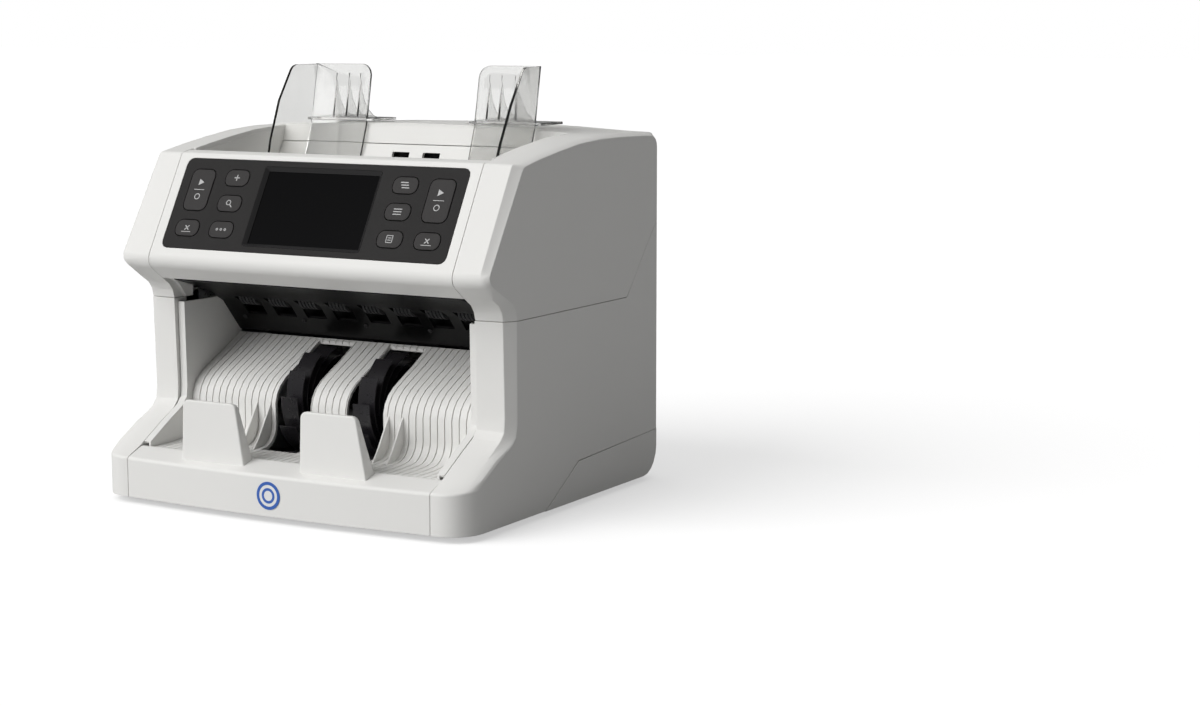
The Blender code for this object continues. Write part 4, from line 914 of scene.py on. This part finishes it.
liner = {"inner": 120.9, "outer": 121.7,
         "outline": ((-50.0, 235.9), (-35.0, 239.0), (-9.5, 243.1), (17.0, 246.6), (40.0, 248.3),
                     (45.6, 248.4), (45.6, 240.8), (42.4, 232.0), (25.4, 190.4, 9.0), (11.6, 176.9, 11.0),
                     (-14.0, 174.2, 18.0), (-45.8, 184.6), (-53.2, 234.0))}
for word, side in (("left", -1), ("right", 1)):
    ends = sorted((side * liner["inner"], side * liner["outer"]))
    plate = drawn(word + "_hopper_liner", rounded(liner["outline"]), "X", *ends, 0.2)
    finishPiece(plate, "casing", "white_plastic")

shellEdges = {
    "upper_casing": 0.45, "fascia": 0.35, "left_lower_side": 0.45, "right_lower_side": 0.45, "base_pan": 0.5,
    "hopper_back_plate": 0.35, "hopper_front_wall": 0.3, "left_bay_side": 0.4, "right_bay_side": 0.4,
}
for node, width in shellEdges.items():
    finishPiece(refined(node + "_shell", node, width=width), "casing", "white_plastic", node)
print("casing made")

# rear: panel with vents, service door, inlet, switch and port
rear = {"face": 135.0, "vents": (66.0, 118.0), "ventLow": 142.0, "ventPitch": 5.4, "ventCount": 7,
        "ventHeight": 2.2, "ventCorner": 1.0, "ventDepth": 1.3,
        "openings": (((-103.8, 58.4), (59.8, 177.8)), ((77.8, 51.0), (106.2, 73.0)),
                     ((85.6, 81.8), (98.4, 102.2)), ((83.8, 114.8), (100.2, 129.2))),
        "screws": ((-117.0, 182.0), (117.0, 182.0), (-117.0, 44.0), (117.0, 44.0)),
        "screwRadius": 2.6, "half": 123.7, "low": 36.6, "high": 188.6, "thick": 2.6,
        "lugs": ((-103.8, -1), (59.8, 1)), "lugWidth": 4.5, "lugHeight": (56.0, 66.0), "lugDepth": (6.0, 2.7)}
doorRibs = {"count": 5, "first": 80.0, "pitch": 16.0, "width": 146.0, "height": 1.6, "middle": -22.0}
inlet = {"place": (92.0, 62.0), "blades": ((-7.0, -2.0), (0.0, 2.0), (7.0, -2.0)), "half": (1.1, 2.1),
         "depth": (123.0, 130.8)}
backPlate = boxAt("back_plate", (-rear["half"], rear["face"] - rear["thick"], rear["low"]),
                  (rear["half"], rear["face"], rear["high"]), 0.3)
ventTools = []
for (left, bottom), (right, top) in rear["openings"]:
    ventTools.append(boxAt("tool", (left, rear["face"] - 8, bottom), (right, rear["face"] + 4, top), None))
left, right = rear["vents"]
for index in range(rear["ventCount"]):
    height = rear["ventLow"] + rear["ventPitch"] * index
    outline = roundedBox(right - left, rear["ventHeight"], rear["ventCorner"], (left + right) / 2, height, 3)
    ventTools.append(drawn("tool", outline, "Y", rear["face"] - rear["ventDepth"], rear["face"] + 1.0, None))
cutWith(backPlate, joined("tool", *ventTools))
faceOut(backPlate)
soften(backPlate, None)
lugs = []
for edge, side in rear["lugs"]:
    low, high = sorted((edge, edge + side * rear["lugWidth"]))
    (bottom, top), (deep, shallow) = rear["lugHeight"], rear["lugDepth"]
    lugs.append(boxAt("lug", (low, rear["face"] - deep, bottom), (high, rear["face"] - shallow, top), 0.2))
backPlate = joined("back_plate", backPlate, *lugs)
finishPiece(backPlate, "casing", "white_plastic", "rear_panel")
heads = []
for x, z in rear["screws"]:
    heads.append(screwHead("screw", (x, rear["face"] - 1.1, z), (0, 1, 0), rear["screwRadius"]))
finishPiece(joined("back_screws", *heads), "casing", "steel")

door = refined("service_door", "rear_door", width=0.4)
finishPiece(door, "rear_door", "white_plastic", "rear_door")
ribs = []
for index in range(doorRibs["count"]):
    height = doorRibs["first"] + doorRibs["pitch"] * index
    outline = roundedBox(doorRibs["width"], doorRibs["height"], 0.7, doorRibs["middle"], height, 3)
    ribs.append(drawn("rib", outline, "Y", rear["face"] - 0.6, rear["face"] - 0.02, 0.15))
finishPiece(joined("service_door_ribs", *ribs), "rear_door", "white_plastic")

socket = refined("inlet_body", "mains_inlet", width=0.25)
finishPiece(socket, "casing", "black_plastic", "mains_inlet")
blades = []
for across, up in inlet["blades"]:
    x, z = inlet["place"][0] + across, inlet["place"][1] + up
    (front, back), (wide, tall) = inlet["depth"], inlet["half"]
    blades.append(boxAt("blade", (x - wide, front, z - tall), (x + wide, back, z + tall), 0.4))
finishPiece(joined("inlet_blades", *blades), "casing", "steel")
rocker = refined("rocker", "power_switch", width=0.5, segments=3)
finishPiece(rocker, "power_switch", "black_plastic", "power_switch")
port = refined("port_body", "data_port", width=0.25)
finishPiece(port, "casing", "black_plastic", "data_port")
portTongue = {"low": (87.6, 124.4, 120.6), "high": (96.4, 132.4, 122.2)}
tongue = boxAt("port_tongue", portTongue["low"], portTongue["high"], 0.2)
finishPiece(tongue, "casing", "nylon")

for corner in ("front_left", "front_right", "rear_left", "rear_right"):
    foot = refined(corner + "_pad", corner + "_foot", width=0.5, segments=3)
    finishPiece(foot, "casing", "roller_rubber", corner + "_foot")
print("rear and feet made")

# what stays as the frame gives it
rows = {row["node"]: row["material_slot"] for row in frame["record"]["subparts"]}
for name, node in nodes.items():
    if node.hide_render:
        continue
    finish = finishes[rows[name]] if rows[name] in finishes else finishes["steel"]
    node.data.materials.clear()
    node.data.materials.append(finish)
